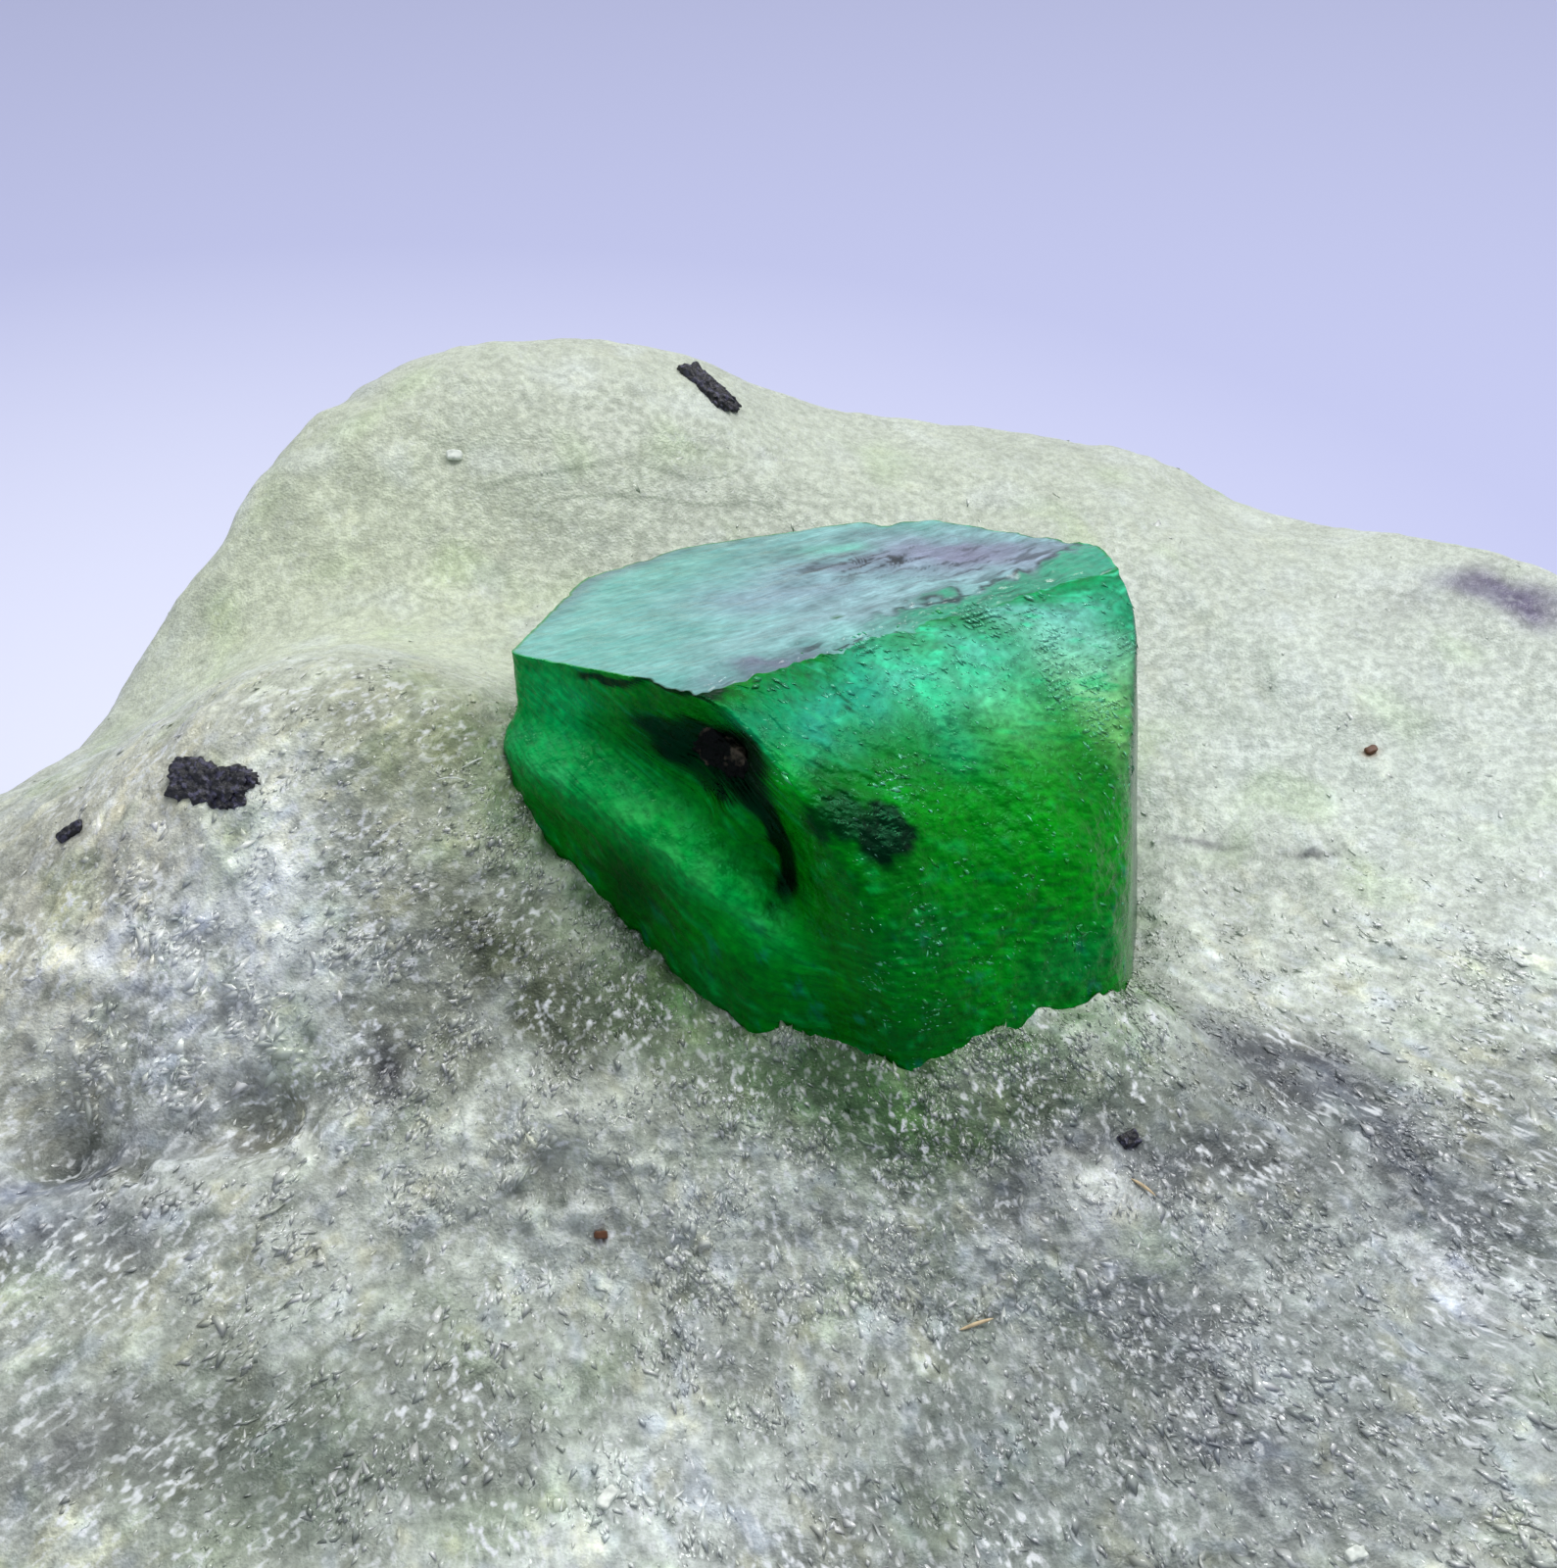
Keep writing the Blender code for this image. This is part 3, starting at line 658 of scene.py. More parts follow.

# %% [markdown]
# ## Colours laid on the rock
#
# The rock is pale grey-green, but each part of it has its own cast: yellowish where it has
# weathered, blue-grey where chlorite runs through it, and green next to the emerald, partly a
# stain and partly painted light that has come through the crystal. A few dark casts by the
# crystal's left front and in a pit are painted shade. Each cast is a soft patch with a wandering
# edge, mixed in turn over the ground colour. A patch is named by its place in plan, its reach,
# its turn and its strength.

# %% Tints of the rock
GROUND_COLOUR = srgb(192, 198, 186)
SIDE_COLOUR = srgb(182, 188, 176)
ROCK_TINTS_SHADE_AND_GLOW = (
    ((-10.5, 7.5), (7.0, 6.0), 0, (190, 198, 170), 0.8),
    ((-6.0, 12.5), (4.5, 3.0), 0, (190, 196, 180), 0.8),
    ((3.0, 11.0), (9.0, 5.0), 0, (188, 196, 179), 0.9),
    ((11.0, 3.5), (7.0, 6.0), 0, (198, 207, 197), 0.95),
    ((7.5, 0.0), (3.0, 3.0), 0, (206, 212, 200), 0.9),
    ((9.0, -8.5), (8.0, 4.0), 0, (148, 156, 156), 0.85),
    ((1.6, -11.0), (5.0, 3.0), 0, (104, 114, 111), 0.85),
    ((-3.8, -11.9), (2.8, 1.8), 10, (222, 230, 224), 0.9),
    ((-8.6, -11.0), (3.6, 2.1), 0, (70, 86, 70), 0.9),
    ((-5.8, -8.8), (4.0, 1.8), 0, (146, 154, 142), 0.8),
    ((-8.9, -8.2), (3.0, 1.0), 0, (176, 182, 174), 0.6),
    ((-13.2, -2.6), (3.2, 3.0), 0, (188, 186, 168), 0.8),
    ((-9.9, -3.7), (3.0, 1.6), 10, (222, 229, 228), 0.9),
    ((-13.0, -6.6), (2.6, 0.9), 20, (108, 114, 128), 0.9),
    # Painted shade in the pit at the far left.
    ((-13.3, -6.0), (0.5, 0.4), 0, (70, 78, 72), 0.9),
    ((-13.1, -8.0), (2.0, 0.8), 15, (92, 98, 108), 0.85),
    ((-10.0, -5.9), (0.7, 0.4), 10, (142, 140, 118), 0.7),
    ((-12.0, -11.6), (1.4, 1.0), 0, (92, 94, 98), 0.75),
    ((-7.4, -1.0), (2.4, 2.2), 0, (160, 165, 134), 0.8),
    ((-7.3, -0.5), (0.9, 0.5), 60, (128, 136, 96), 0.6),
    # Painted shade of the crystal on the rock at its left front.
    ((-5.4, -4.0), (3.4, 1.3), -22, (72, 80, 54), 0.97),
    ((-3.9, -4.9), (1.3, 0.7), -30, (64, 76, 52), 0.9),
    ((-7.4, -4.9), (1.9, 0.7), -20, (120, 126, 106), 0.7),
    # Painted green light that has come through the crystal, on the rock in front of it, over the stain.
    ((1.8, -5.9), (3.4, 0.85), 8, (60, 86, 44), 0.95),
    ((-0.7, -5.8), (1.7, 0.7), -10, (36, 76, 34), 0.97),
    ((-1.3, -7.5), (2.2, 0.8), 0, (184, 192, 184), 0.6),
    ((7.9, -3.9), (2.6, 1.0), -20, (56, 60, 72), 0.95),
    ((4.8, -6.4), (3.0, 0.8), 20, (84, 89, 94), 0.85),
    ((9.4, -5.4), (2.8, 0.8), -30, (96, 102, 112), 0.8),
    ((5.0, -8.9), (1.6, 0.5), -35, (108, 114, 118), 0.7),
    ((5.6, -10.5), (1.8, 0.6), -35, (112, 118, 124), 0.7),
    ((3.7, -7.4), (0.8, 0.7), 0, (206, 210, 204), 0.8),
    ((10.0, -7.0), (1.2, 0.5), -30, (218, 222, 226), 0.6),
    ((-7.95, -5.5), (0.4, 0.6), 20, (30, 32, 44), 1.0),
    ((14.3, 8.5), (1.6, 0.5), -15, (92, 82, 116), 0.95),
    ((7.0, 2.5), (0.8, 0.12), -12, (124, 126, 126), 0.8),
    ((9.1, 2.0), (0.45, 0.13), -12, (84, 86, 90), 0.8),
    ((-4.3, -7.6), (0.1, 0.08), 0, (60, 32, 12), 1.0),
    ((10.75, 4.6), (0.16, 0.1), 20, (150, 118, 80), 0.9),
)
GREEN_STAIN_AND_GLOW = srgb(58, 104, 44)
STAIN_AND_GLOW_REACH = 1.2
LEAF_CLOUD, MILK_CLOUD = srgb(168, 182, 150), srgb(214, 222, 220)
STREAK_CASTS = ((1.03, 1.06, 1.24), (1.22, 1.16, 1.0), (1.6, 1.62, 1.6), (0.52, 0.56, 0.52))


# %% Lay the tints on


def rock_tint(points, down, to_contact):
    """The colour of the rock: soft patches, some painted shade, then the green by the crystal, part stain and
    part painted light.
    """
    x = points[..., 0] + 0.9 * gradient_noise(points, 2.2, 81) + 0.25 * gradient_noise(points, 0.6, 83)
    y = points[..., 1] + 0.9 * gradient_noise(points, 2.2, 82) + 0.25 * gradient_noise(points, 0.6, 84)
    small_x = points[..., 0] + 0.12 * gradient_noise(points, 0.3, 85)
    small_y = points[..., 1] + 0.12 * gradient_noise(points, 0.3, 86)
    colour = np.broadcast_to(GROUND_COLOUR, points.shape).copy()
    for centre, reach, turn_degrees, patch, strength in ROCK_TINTS_SHADE_AND_GLOW:
        px, py = (small_x, small_y) if max(reach) < 1 else (x, y)
        share = (strength * bell(px, py, centre, reach, turn_degrees))[..., None]
        colour = colour * (1 - share) + srgb(*patch) * share
    beside = smoothstep(0.0, 0.25, down)[..., None]
    colour = colour * (1 - beside) + SIDE_COLOUR * beside
    patchy = (0.65 + 0.6 * gradient_noise(points, 0.7, 87)).clip(0, 1)
    # The green by the crystal is strongest in front: partly a stain and partly painted light that has come
    # through the crystal.
    in_front = 1 - smoothstep(-3.4, -0.5, points[..., 1] + 0.25 * points[..., 0])
    reach = STAIN_AND_GLOW_REACH * (0.45 + 0.55 * in_front)
    stain_and_glow = ((0.5 + 0.45 * in_front) * np.exp(-((to_contact / reach) ** 2)) * patchy)[..., None]
    colour = colour * (1 - stain_and_glow) + GREEN_STAIN_AND_GLOW * stain_and_glow
    away = smoothstep(0.8, 2.6, to_contact)
    greenish = 0.35 * smoothstep(0.15, 0.6, gradient_noise(points, 1.5, 91))[..., None]
    milky = (0.55 * smoothstep(0.1, 0.6, gradient_noise(points, 1.1, 92)) * away)[..., None]
    colour = colour * (1 - greenish) + colour * LEAF_CLOUD / LEAF_CLOUD.max() * greenish
    colour = colour * (1 - milky) + MILK_CLOUD * milky * 0.5 + colour * milky * 0.5
    grainy = graininess(points)
    for number, cast in enumerate(STREAK_CASTS):
        veins = streaky(points, 1.5, 0.45, 94 + number) + 0.4 * gradient_noise(points, 0.3, 194 + number)
        share = (0.75 * grainy * smoothstep(0.12, 0.5, veins))[..., None]
        colour = colour * (1 - share) + colour * np.array(cast) * share
    cloud = 0.5 * gradient_noise(points, 1.3, 88) + 0.5 * gradient_noise(points, 0.5, 89)
    cloud = 1 + (0.12 + 0.22 * grainy) * cloud
    return (colour * cloud[..., None]).clip(0, 1)


tint_rock = rock_tint(rock, all_down, from_contact)
rock_graininess = graininess(rock)
# Height of the fine relief, for painted highlight on its crests and painted shade in its dips.
crest_light_rock = (relief - layered(rock, GRIT[:1], 61)) * 8 * rock_graininess
white_rock = crushed_edges(rock)[1]
grain_rock = rock_graininess * (0.35 + 0.65 * smoothstep(-0.2, 0.4, gradient_noise(rock, 1.3, 93)))
pocket_tint = np.broadcast_to(GREEN_STAIN_AND_GLOW * 0.6, pocket.shape)
base_tint = np.broadcast_to(SIDE_COLOUR, base.shape)
tint = np.concatenate([pocket_tint, tint_rock, base_tint])


def with_ends(values):
    """Adds zeros for the pocket and the base to values that were made for the seen rock."""
    return np.concatenate([np.zeros(pocket.shape[:2]), values, np.zeros(base.shape[:2])])


crest, white, grainy = with_ends(crest_light_rock), with_ends(white_rock), with_ends(grain_rock)
front_share, right_share, left_share, side_share = streak_weights(whole[..., 0], whole[..., 1])
streak_share = np.stack([front_share + side_share, right_share, left_share], axis=-1)
print("mean colour of the rock, linear:", tint_rock.mean(axis=(0, 1)).round(3))

# %% [markdown]
# ## Materials
#
# Every finish here is mottled by grain: noise of some size in millimetres, drawn out along the
# way that the mineral lies. Nearly all the materials use it, so it is one node group, built once
# and placed in each of them with its own values. The shaders themselves stay in each material,
# and numbers that are the same all over a surface are set straight on the shader's sockets.

# %% The shared grain group


def grain_group():
    """Noise at a place, with a size along each of three turned axes: a Grain of about 0.3 to 0.7."""
    group = bpy.data.node_groups.new("mineral grain", "ShaderNodeTree")
    for name, kind in (("Place", "Vector"), ("Turn", "Vector"), ("Size", "Vector"), ("Detail", "Float")):
        group.interface.new_socket(name, in_out="INPUT", socket_type="NodeSocket" + kind)
    group.interface.new_socket("Grain", in_out="OUTPUT", socket_type="NodeSocketFloat")
    entry, leave = group.nodes.new("NodeGroupInput"), group.nodes.new("NodeGroupOutput")
    mapping = group.nodes.new("ShaderNodeMapping")
    mapping.vector_type = "TEXTURE"
    texture = group.nodes.new("ShaderNodeTexNoise")
    texture.inputs["Scale"].default_value = 1.0
    for source, target in (
        (entry.outputs["Place"], mapping.inputs["Vector"]),
        (entry.outputs["Turn"], mapping.inputs["Rotation"]),
        (entry.outputs["Size"], mapping.inputs["Scale"]),
        (mapping.outputs[0], texture.inputs["Vector"]),
        (entry.outputs["Detail"], texture.inputs["Detail"]),
        (texture.outputs["Fac"], leave.inputs["Grain"]),
    ):
        group.links.new(source, target)
    return group


GRAIN = grain_group()
print("grain group takes", [item.name for item in GRAIN.interface.items_tree if item.in_out == "INPUT"])

# %% A recipe for a material


class Recipe:
    """A new material with its Principled shader, and short ways to add and join nodes."""

    def __init__(self, name):
        self.material = bpy.data.materials.new(name)
        self.material.use_nodes = True
        self.nodes, self.links = self.material.node_tree.nodes, self.material.node_tree.links
        self.shader = self.nodes["Principled BSDF"]
        self.output = self.nodes["Material Output"]

    def plain(self, **values):
        """Sets sockets of the shader to one value all over; Base_Color means Base Color."""
        for name, value in values.items():
            socket = self.shader.inputs[name.replace("_", " ")]
            socket.default_value = (*value, 1) if socket.type == "RGBA" else value

    def feed(self, source, target):
        """Joins a value to one of the shader's sockets."""
        self.links.new(source, self.shader.inputs[target])

    def attribute(self, name):
        """Reads what was stored at the vertices under that name."""
        node = self.nodes.new("ShaderNodeAttribute")
        node.attribute_name = name
        return node.outputs

    def noise(self, size, detail=3, stretch=(1, 1, 1), turn=0, source=None, unit=MM):
        """Grain of that size in mm, drawn out along axes that are turned in plan by some degrees."""
        node = self.nodes.new("ShaderNodeGroup")
        node.node_tree = GRAIN
        node.inputs["Turn"].default_value = (0, 0, math.radians(turn))
        node.inputs["Size"].default_value = [unit * size * s for s in stretch]
        node.inputs["Detail"].default_value = detail
        if source is None:
            source = self.nodes.new("ShaderNodeTexCoord").outputs["Object"]
        self.links.new(source, node.inputs["Place"])
        return node.outputs["Grain"]

    def remap(self, value, low, high, to_low, to_high):
        """Stretches low..high to to_low..to_high, and clamps."""
        node = self.nodes.new("ShaderNodeMapRange")
        for socket, number in zip(node.inputs[1:5], (low, high, to_low, to_high)):
            socket.default_value = number
        self.links.new(value, node.inputs[0])
        return node.outputs[0]

    def math(self, operation, a, b):
        """Works out a operation b; each may be a socket or a number."""
        node = self.nodes.new("ShaderNodeMath")
        node.operation = operation
        for socket, value in zip(node.inputs, (a, b)):
            if isinstance(value, (int, float)):
                socket.default_value = value
            else:
                self.links.new(value, socket)
        return node.outputs[0]

    def scaled(self, colour, tone):
        """A colour times a grey tone."""
        node = self.nodes.new("ShaderNodeVectorMath")
        node.operation = "SCALE"
        self.links.new(colour, node.inputs[0])
        self.links.new(tone, node.inputs["Scale"])
        return node.outputs[0]

    def blend(self, factor, a, b):
        """Mixes two colours; each may be a socket or a colour."""
        node = self.nodes.new("ShaderNodeMix")
        node.data_type = "RGBA"
        for socket, value in ((node.inputs[0], factor), (node.inputs[6], a), (node.inputs[7], b)):
            if isinstance(value, (int, float)):
                socket.default_value = value
            elif isinstance(value, bpy.types.NodeSocket):
                self.links.new(value, socket)
            else:
                socket.default_value = (*value, 1)
        return node.outputs[2]

    def bump(self, height, depth_mm, strength=1.0):
        """Tilts the shading as a height of that many millimetres would."""
        node = self.nodes.new("ShaderNodeBump")
        node.inputs["Distance"].default_value = depth_mm * MM
        node.inputs["Strength"].default_value = strength
        self.links.new(height, node.inputs["Height"])
        self.feed(node.outputs[0], "Normal")


# %% [markdown]
# ### The rock's finish
#
# Its colour is the painted cast, with painted highlight on the crests and painted shade in the
# dips. Grain at a fifth and at a sixteenth of a millimetre varies it from place to place, and
# where the rock is sugary, white specks and dark gaps are drawn out along its streaks. Some light
# goes a quarter of a millimetre into it, because it is waxy rather than dusty, and its roughness
# varies too.

# %% Rock material
CRUSHED_WHITE = srgb(232, 236, 238)


def rock_material():
    """The painted tint times a tone, with specks along the streaks and powder on crushed edges."""
    made = Recipe("talc-carbonate rock")
    crest_light_and_dip_shade = made.attribute("crest")["Fac"]
    clusters = made.attribute("grainy")["Fac"]
    patches = made.noise(0.18, 0)
    fine = made.noise(0.06, 1)
    split = made.nodes.new("ShaderNodeSeparateColor")
    made.links.new(made.attribute("streak")["Color"], split.inputs[0])
    streak = 0.0
    for share, turn, longer in zip(split.outputs, (107, 147, 50), (2.0, 3.2, 1.8)):
        drawn = made.noise(0.13, 1, stretch=(longer, 1, 1), turn=turn)
        streak = made.math("ADD", made.math("MULTIPLY", share, drawn), streak)
    specks = made.math("MULTIPLY", made.remap(streak, 0.54, 0.66, 0.0, 0.9), clusters)
    gaps = made.math("MULTIPLY", made.remap(streak, 0.46, 0.34, 0.0, 0.3), clusters)
    # Painted highlight on the crests and painted shade in the dips.
    lift = made.remap(crest_light_and_dip_shade, -0.8, 1.0, -0.3, 0.4)
    patch_tone = made.remap(patches, 0.3, 0.7, 0.88, 1.12)
    fine_tone = made.remap(fine, 0.3, 0.7, 0.88, 1.12)
    tone = made.math("MULTIPLY", patch_tone, fine_tone)
    tone = made.math("MULTIPLY", tone, made.math("ADD", lift, 1.0))
    tone = made.math("MULTIPLY", tone, made.math("SUBTRACT", 1.0, gaps))
    painted = made.scaled(made.attribute("tint")["Color"], tone)
    speckled = made.blend(specks, painted, CRUSHED_WHITE)
    powder = made.remap(fine, 0.35, 0.6, 0.3, 1.0)
    crushed = made.math("MULTIPLY", made.attribute("white")["Fac"], powder)
    made.feed(made.blend(crushed, speckled, CRUSHED_WHITE), "Base Color")
    made.feed(made.remap(patches, 0.35, 0.65, 0.68, 0.38), "Roughness")
    made.bump(fine, 0.035, 0.8)
    made.plain(IOR=1.5, Subsurface_Weight=0.25)
    made.plain(Subsurface_Radius=(1.0, 1.0, 0.85), Subsurface_Scale=0.25 * MM)
    return made.material


ROCK = rock_material()

# %% Rock pieces
PART_ROWS = 87
rock_values = {"tint": tint, "crest": crest, "white": white, "grainy": grainy, "streak": streak_share}
top_start = len(pocket)
cuts = (0, top_start, top_start + PART_ROWS, top_start + 2 * PART_ROWS, top_start + TOP_ROWS, len(whole))
names = ("rock_pocket", "rock_top_near", "rock_top_middle", "rock_top_far", "rock_sides")
for name, first_row, last_row in zip(names, cuts[:-1], cuts[1:]):
    rows = slice(first_row, last_row + 1)
    first_pole = pocket_pole if name == "rock_pocket" else None
    last_pole = (0.0, 0.0, 0.0) if name == "rock_sides" else None
    mesh = ring_mesh(name, whole[rows], whole_normals[rows], first_pole, last_pole)
    for label, values in rock_values.items():
        vertex_values(mesh, label, values[rows])
    place(name, mesh, ROCK, "talc_carbonate_rock", "matrix")

# %% [markdown]
# ## The fine crystal
#
# The crystal's grid follows its forms: its columns crowd where the prism turns an edge, and its
# rows follow the crest of the ledge, so neither is blurred. To crowd the columns, the outline is
# walked once at each depth, counting both the length walked and the turning done, and columns
# are set at even shares of that count. A row's depth depends on the direction of its columns, and
# the columns' directions on the depth, so the two are settled by turns.

# %% Crystal grid
CRYSTAL_COLUMNS = 620
END_ROWS, ABOVE_ROWS, ACROSS_ROWS, BELOW_ROWS, FOOT_ROWS = 60, 36, 12, 46, 4
EDGE_CROWDING, FRONT_CROWDING = 0.18, (262.0, 60.0, 1.1)


def edge_crowding(levels, shares):
    """Directions of columns by depth: even shares of the length and turning of the outline."""
    fine = np.linspace(0, 360, 2881)
    table = []
    for depth in np.linspace(0, CRYSTAL_HEIGHT, levels):
        reach = prism_and_break(fine, depth)[0]
        x, y = reach * np.cos(np.radians(fine)), reach * np.sin(np.radians(fine))
        length = np.hypot(np.diff(x), np.diff(y))
        turning = np.abs(np.gradient(np.unwrap(np.arctan2(np.diff(y), np.diff(x)))))
        off = angle_between(fine[1:], FRONT_CROWDING[0]) / FRONT_CROWDING[1]
        length = length * (1 + FRONT_CROWDING[2] * np.exp(-(off**2)))
        weight = (1 - EDGE_CROWDING) * length / length.sum() + EDGE_CROWDING * turning / turning.sum()
        travelled = np.concatenate([[0], np.cumsum(weight)])
        table.append(np.interp(np.linspace(0, travelled[-1], shares), travelled, fine))
    return np.array(table)


def look_up(table, depth, share):
    """Reads the crowding table between its entries."""
    levels, shares = table.shape
    i = (depth / CRYSTAL_HEIGHT).clip(0, 1) * (levels - 1)
    j = share * (shares - 1)
    i0, j0 = np.minimum(i.astype(int), levels - 2), np.minimum(j.astype(int), shares - 2)
    u, v = i - i0, j - j0
    upper = table[i0, j0] * (1 - v) + table[i0, j0 + 1] * v
    lower = table[i0 + 1, j0] * (1 - v) + table[i0 + 1, j0 + 1] * v
    return upper * (1 - u) + lower * u


# %% Settle the columns and rows
share = np.arange(CRYSTAL_COLUMNS)[None, :] / CRYSTAL_COLUMNS
side_rows = ABOVE_ROWS + ACROSS_ROWS + BELOW_ROWS
row = np.arange(side_rows + 1)[:, None]
crest_row, below_row = ABOVE_ROWS, ABOVE_ROWS + ACROSS_ROWS
below_share = np.interp(row, [below_row, side_rows], [0, 1]) ** 1.6
SETTLING_ROUNDS = 18
crowding = edge_crowding(90, 1241)
direction = np.repeat(share * 360.0, side_rows + 1, axis=0)
for settling_round in range(SETTLING_ROUNDS):
    crest_depth = ledge_crest(direction)
    depth = np.interp(row, [0, crest_row], [0, 1]) ** 1.1 * (crest_depth - LEDGE_SLOPE / 2)
    depth = depth + np.interp(row, [crest_row, below_row], [0, LEDGE_SLOPE])
    depth = depth + below_share * (CRYSTAL_HEIGHT - crest_depth - LEDGE_SLOPE / 2)
    direction = (direction + look_up(crowding, depth, np.broadcast_to(share, depth.shape))) / 2
print("crystal side grid", direction.shape)

# %% [markdown]
# The broken faces are worn into ripples and small steps, with hair-fine striations across them.
# The flat end is nearly smooth, with thin laminae that step down beside the break, and its rim
# is nibbled, with one sharp notch at the back. Prism faces keep only the faintest ripple.

# %% Fine relief of the crystal
BREAK_RIPPLES = ((1.5, 0.12), (0.7, 0.09), (0.34, 0.06), (0.16, 0.035))
FLOW_LENGTH, FLOW_WIDTH, FLOW_HEIGHT = 0.6, 0.1, 0.045
NOTCH_DIRECTION, NOTCH_HALF_ANGLE, NOTCH_DEPTH, NOTCH_REACH = 80.0, 3.2, 0.7, 0.5
LAMINA_WIDTH, LAMINA_HEIGHT = 0.26, 0.09


# %% Roughness of the break


def flow_on_break(local):
    """Lengths along, across and into the grain of the broken front. The grain falls to the right
    by 36 degrees on the left, by 14 on the right, and rises under the flat end's edge."""
    view, inward = math.radians(352), math.radians(262)
    sideways = local[..., 0] * math.cos(view) + local[..., 1] * math.sin(view)
    depth = -local[..., 2]
    fall = 36 - 22 * smoothstep(-2.0, 1.2, sideways)
    fall = fall - 26 * (1 - smoothstep(0.5, 1.5, depth)) * smoothstep(-1.0, 0.6, sideways)
    c, s = np.cos(np.radians(fall)), np.sin(np.radians(fall))
    into = local[..., 0] * math.cos(inward) + local[..., 1] * math.sin(inward)
    return np.stack([sideways * c + (depth - 2) * s, (depth - 2) * c - sideways * s, into], axis=-1)


def flow_noise(flow, length, width, seed):
    """Noise drawn out along the grain of the break."""
    return gradient_noise(flow / [length, width, 0.6], 1.0, seed)


def break_roughness(local, amount):
    """Ripples of four sizes, and ridges along the grain of the break."""
    flow = flow_on_break(local)
    ridges = flow_noise(flow, FLOW_LENGTH, FLOW_WIDTH, 111) + 0.5 * flow_noise(flow, 0.3, 0.06, 112)
    return amount * (layered(local, BREAK_RIPPLES, 101) + FLOW_HEIGHT * ridges)


# %% Relief of the flat end and its rim
EDGE_WANDER = ((1.3, 0.34), (0.5, 0.22), (0.22, 0.11))


def from_break_line(x, y):
    """Distance on the flat end from the line where the break cuts it."""
    facing = math.radians(FRACTURE_FACES)
    return FRACTURE_AT_TOP - x * math.cos(facing) - y * math.sin(facing)


def end_relief(x, y):
    """Height of the flat end: laminae that step down towards the break, and a faint ripple."""
    place_on_end = np.stack([x, y, np.zeros_like(x)], axis=-1)
    wander = 0.35 * gradient_noise(place_on_end, 1.4, 121) + 0.12 * gradient_noise(place_on_end, 0.4, 122)
    inland = from_break_line(x, y) + wander
    zone = 1 - smoothstep(0.0, 1.6, inland + 0.3 * gradient_noise(place_on_end, 0.8, 126))
    laminae = -LAMINA_HEIGHT * (1 - staircase(np.clip(inland, -0.3, 1.6), 1 / LAMINA_WIDTH) / 1.6)
    facing = math.radians(FRACTURE_FACES + 90)
    along = x * math.cos(facing) + y * math.sin(facing)
    drawn = np.stack([along / 2.2, from_break_line(x, y) / 0.3, np.zeros_like(x)], axis=-1)
    worn = 0.4 + 0.9 * bell(x, y, (2.4, 3.2), (3.6, 2.4), 38)
    ripple = 0.045 * worn * gradient_noise(drawn, 1.0, 123) + 0.03 * gradient_noise(place_on_end, 2.4, 124)
    rough = layered(place_on_end, ((0.6, 0.04), (0.28, 0.035), (0.14, 0.02)), 125) * (worn + zone)
    return laminae * zone * 1.6 + ripple + rough


def rim_chips(direction, depth):
    """How much the rim of the flat end is nibbled away, most at its very edge."""
    on_ring = around_axis(direction, 6.0, depth * 0)
    nibble = gradient_noise(on_ring, 0.9, 131) + 0.6 * gradient_noise(on_ring, 0.35, 132)
    nibble = (nibble - 0.15).clip(0)
    at_back = 0.35 + 0.65 * smoothstep(20, 50, direction) * (1 - smoothstep(120, 170, direction))
    notch = NOTCH_DEPTH * np.exp(-((angle_between(direction, NOTCH_DIRECTION) / NOTCH_HALF_ANGLE) ** 2))
    return 0.55 * nibble * at_back * np.exp(-depth / 0.3) + notch * np.exp(-((depth / NOTCH_REACH) ** 2))


# %% Shape the crystal
smooth_reach = crystal_reach(direction, depth)
break_share = prism_and_break(direction, depth)[1]
smooth_side = around_axis(direction, smooth_reach, depth)
rough_front = np.maximum(break_share, ledge_share(direction) * smoothstep(0.3, 1.4, depth))
roughness = (0.12 + 0.88 * rough_front) * (1 - smoothstep(7.5, 8.5, depth))
at_rim = smoothstep(0.0, 0.25, depth) * (1 - rough_front) + rough_front
wander_of_edge = layered(smooth_side * [1, 1, 0.4], EDGE_WANDER, 116) * rough_front * np.exp(-depth / 0.5)
reach = smooth_reach + break_roughness(smooth_side, roughness) * at_rim
reach = reach + wander_of_edge - rim_chips(direction, depth)
side = around_axis(direction, reach, depth)

end_share = (np.linspace(0, 1, END_ROWS + 1)[1:-1, None]) ** 0.85
end = side[:1] * end_share[..., None]
foot_share = np.linspace(1, 0, FOOT_ROWS + 1)[1:-1, None, None]
foot = side[-1:] * [1, 1, 0] * foot_share + [0, 0, -CRYSTAL_HEIGHT]
crystal_local = np.concatenate([end, side, foot])
lift = end_relief(crystal_local[..., 0], crystal_local[..., 1])
crystal_depth = -crystal_local[..., 2]
crystal_local[..., 2] += lift * np.exp(-crystal_depth / 0.12)
crystal_points = to_specimen(crystal_local)
crystal_normals = grid_normals(crystal_points)
end_pole = to_specimen(np.array([0.0, 0.0, float(end_relief(np.zeros(1), np.zeros(1))[0])]))
foot_pole = to_specimen(np.array([0.0, 0.0, -CRYSTAL_HEIGHT]))
print("crystal grid", crystal_points.shape)
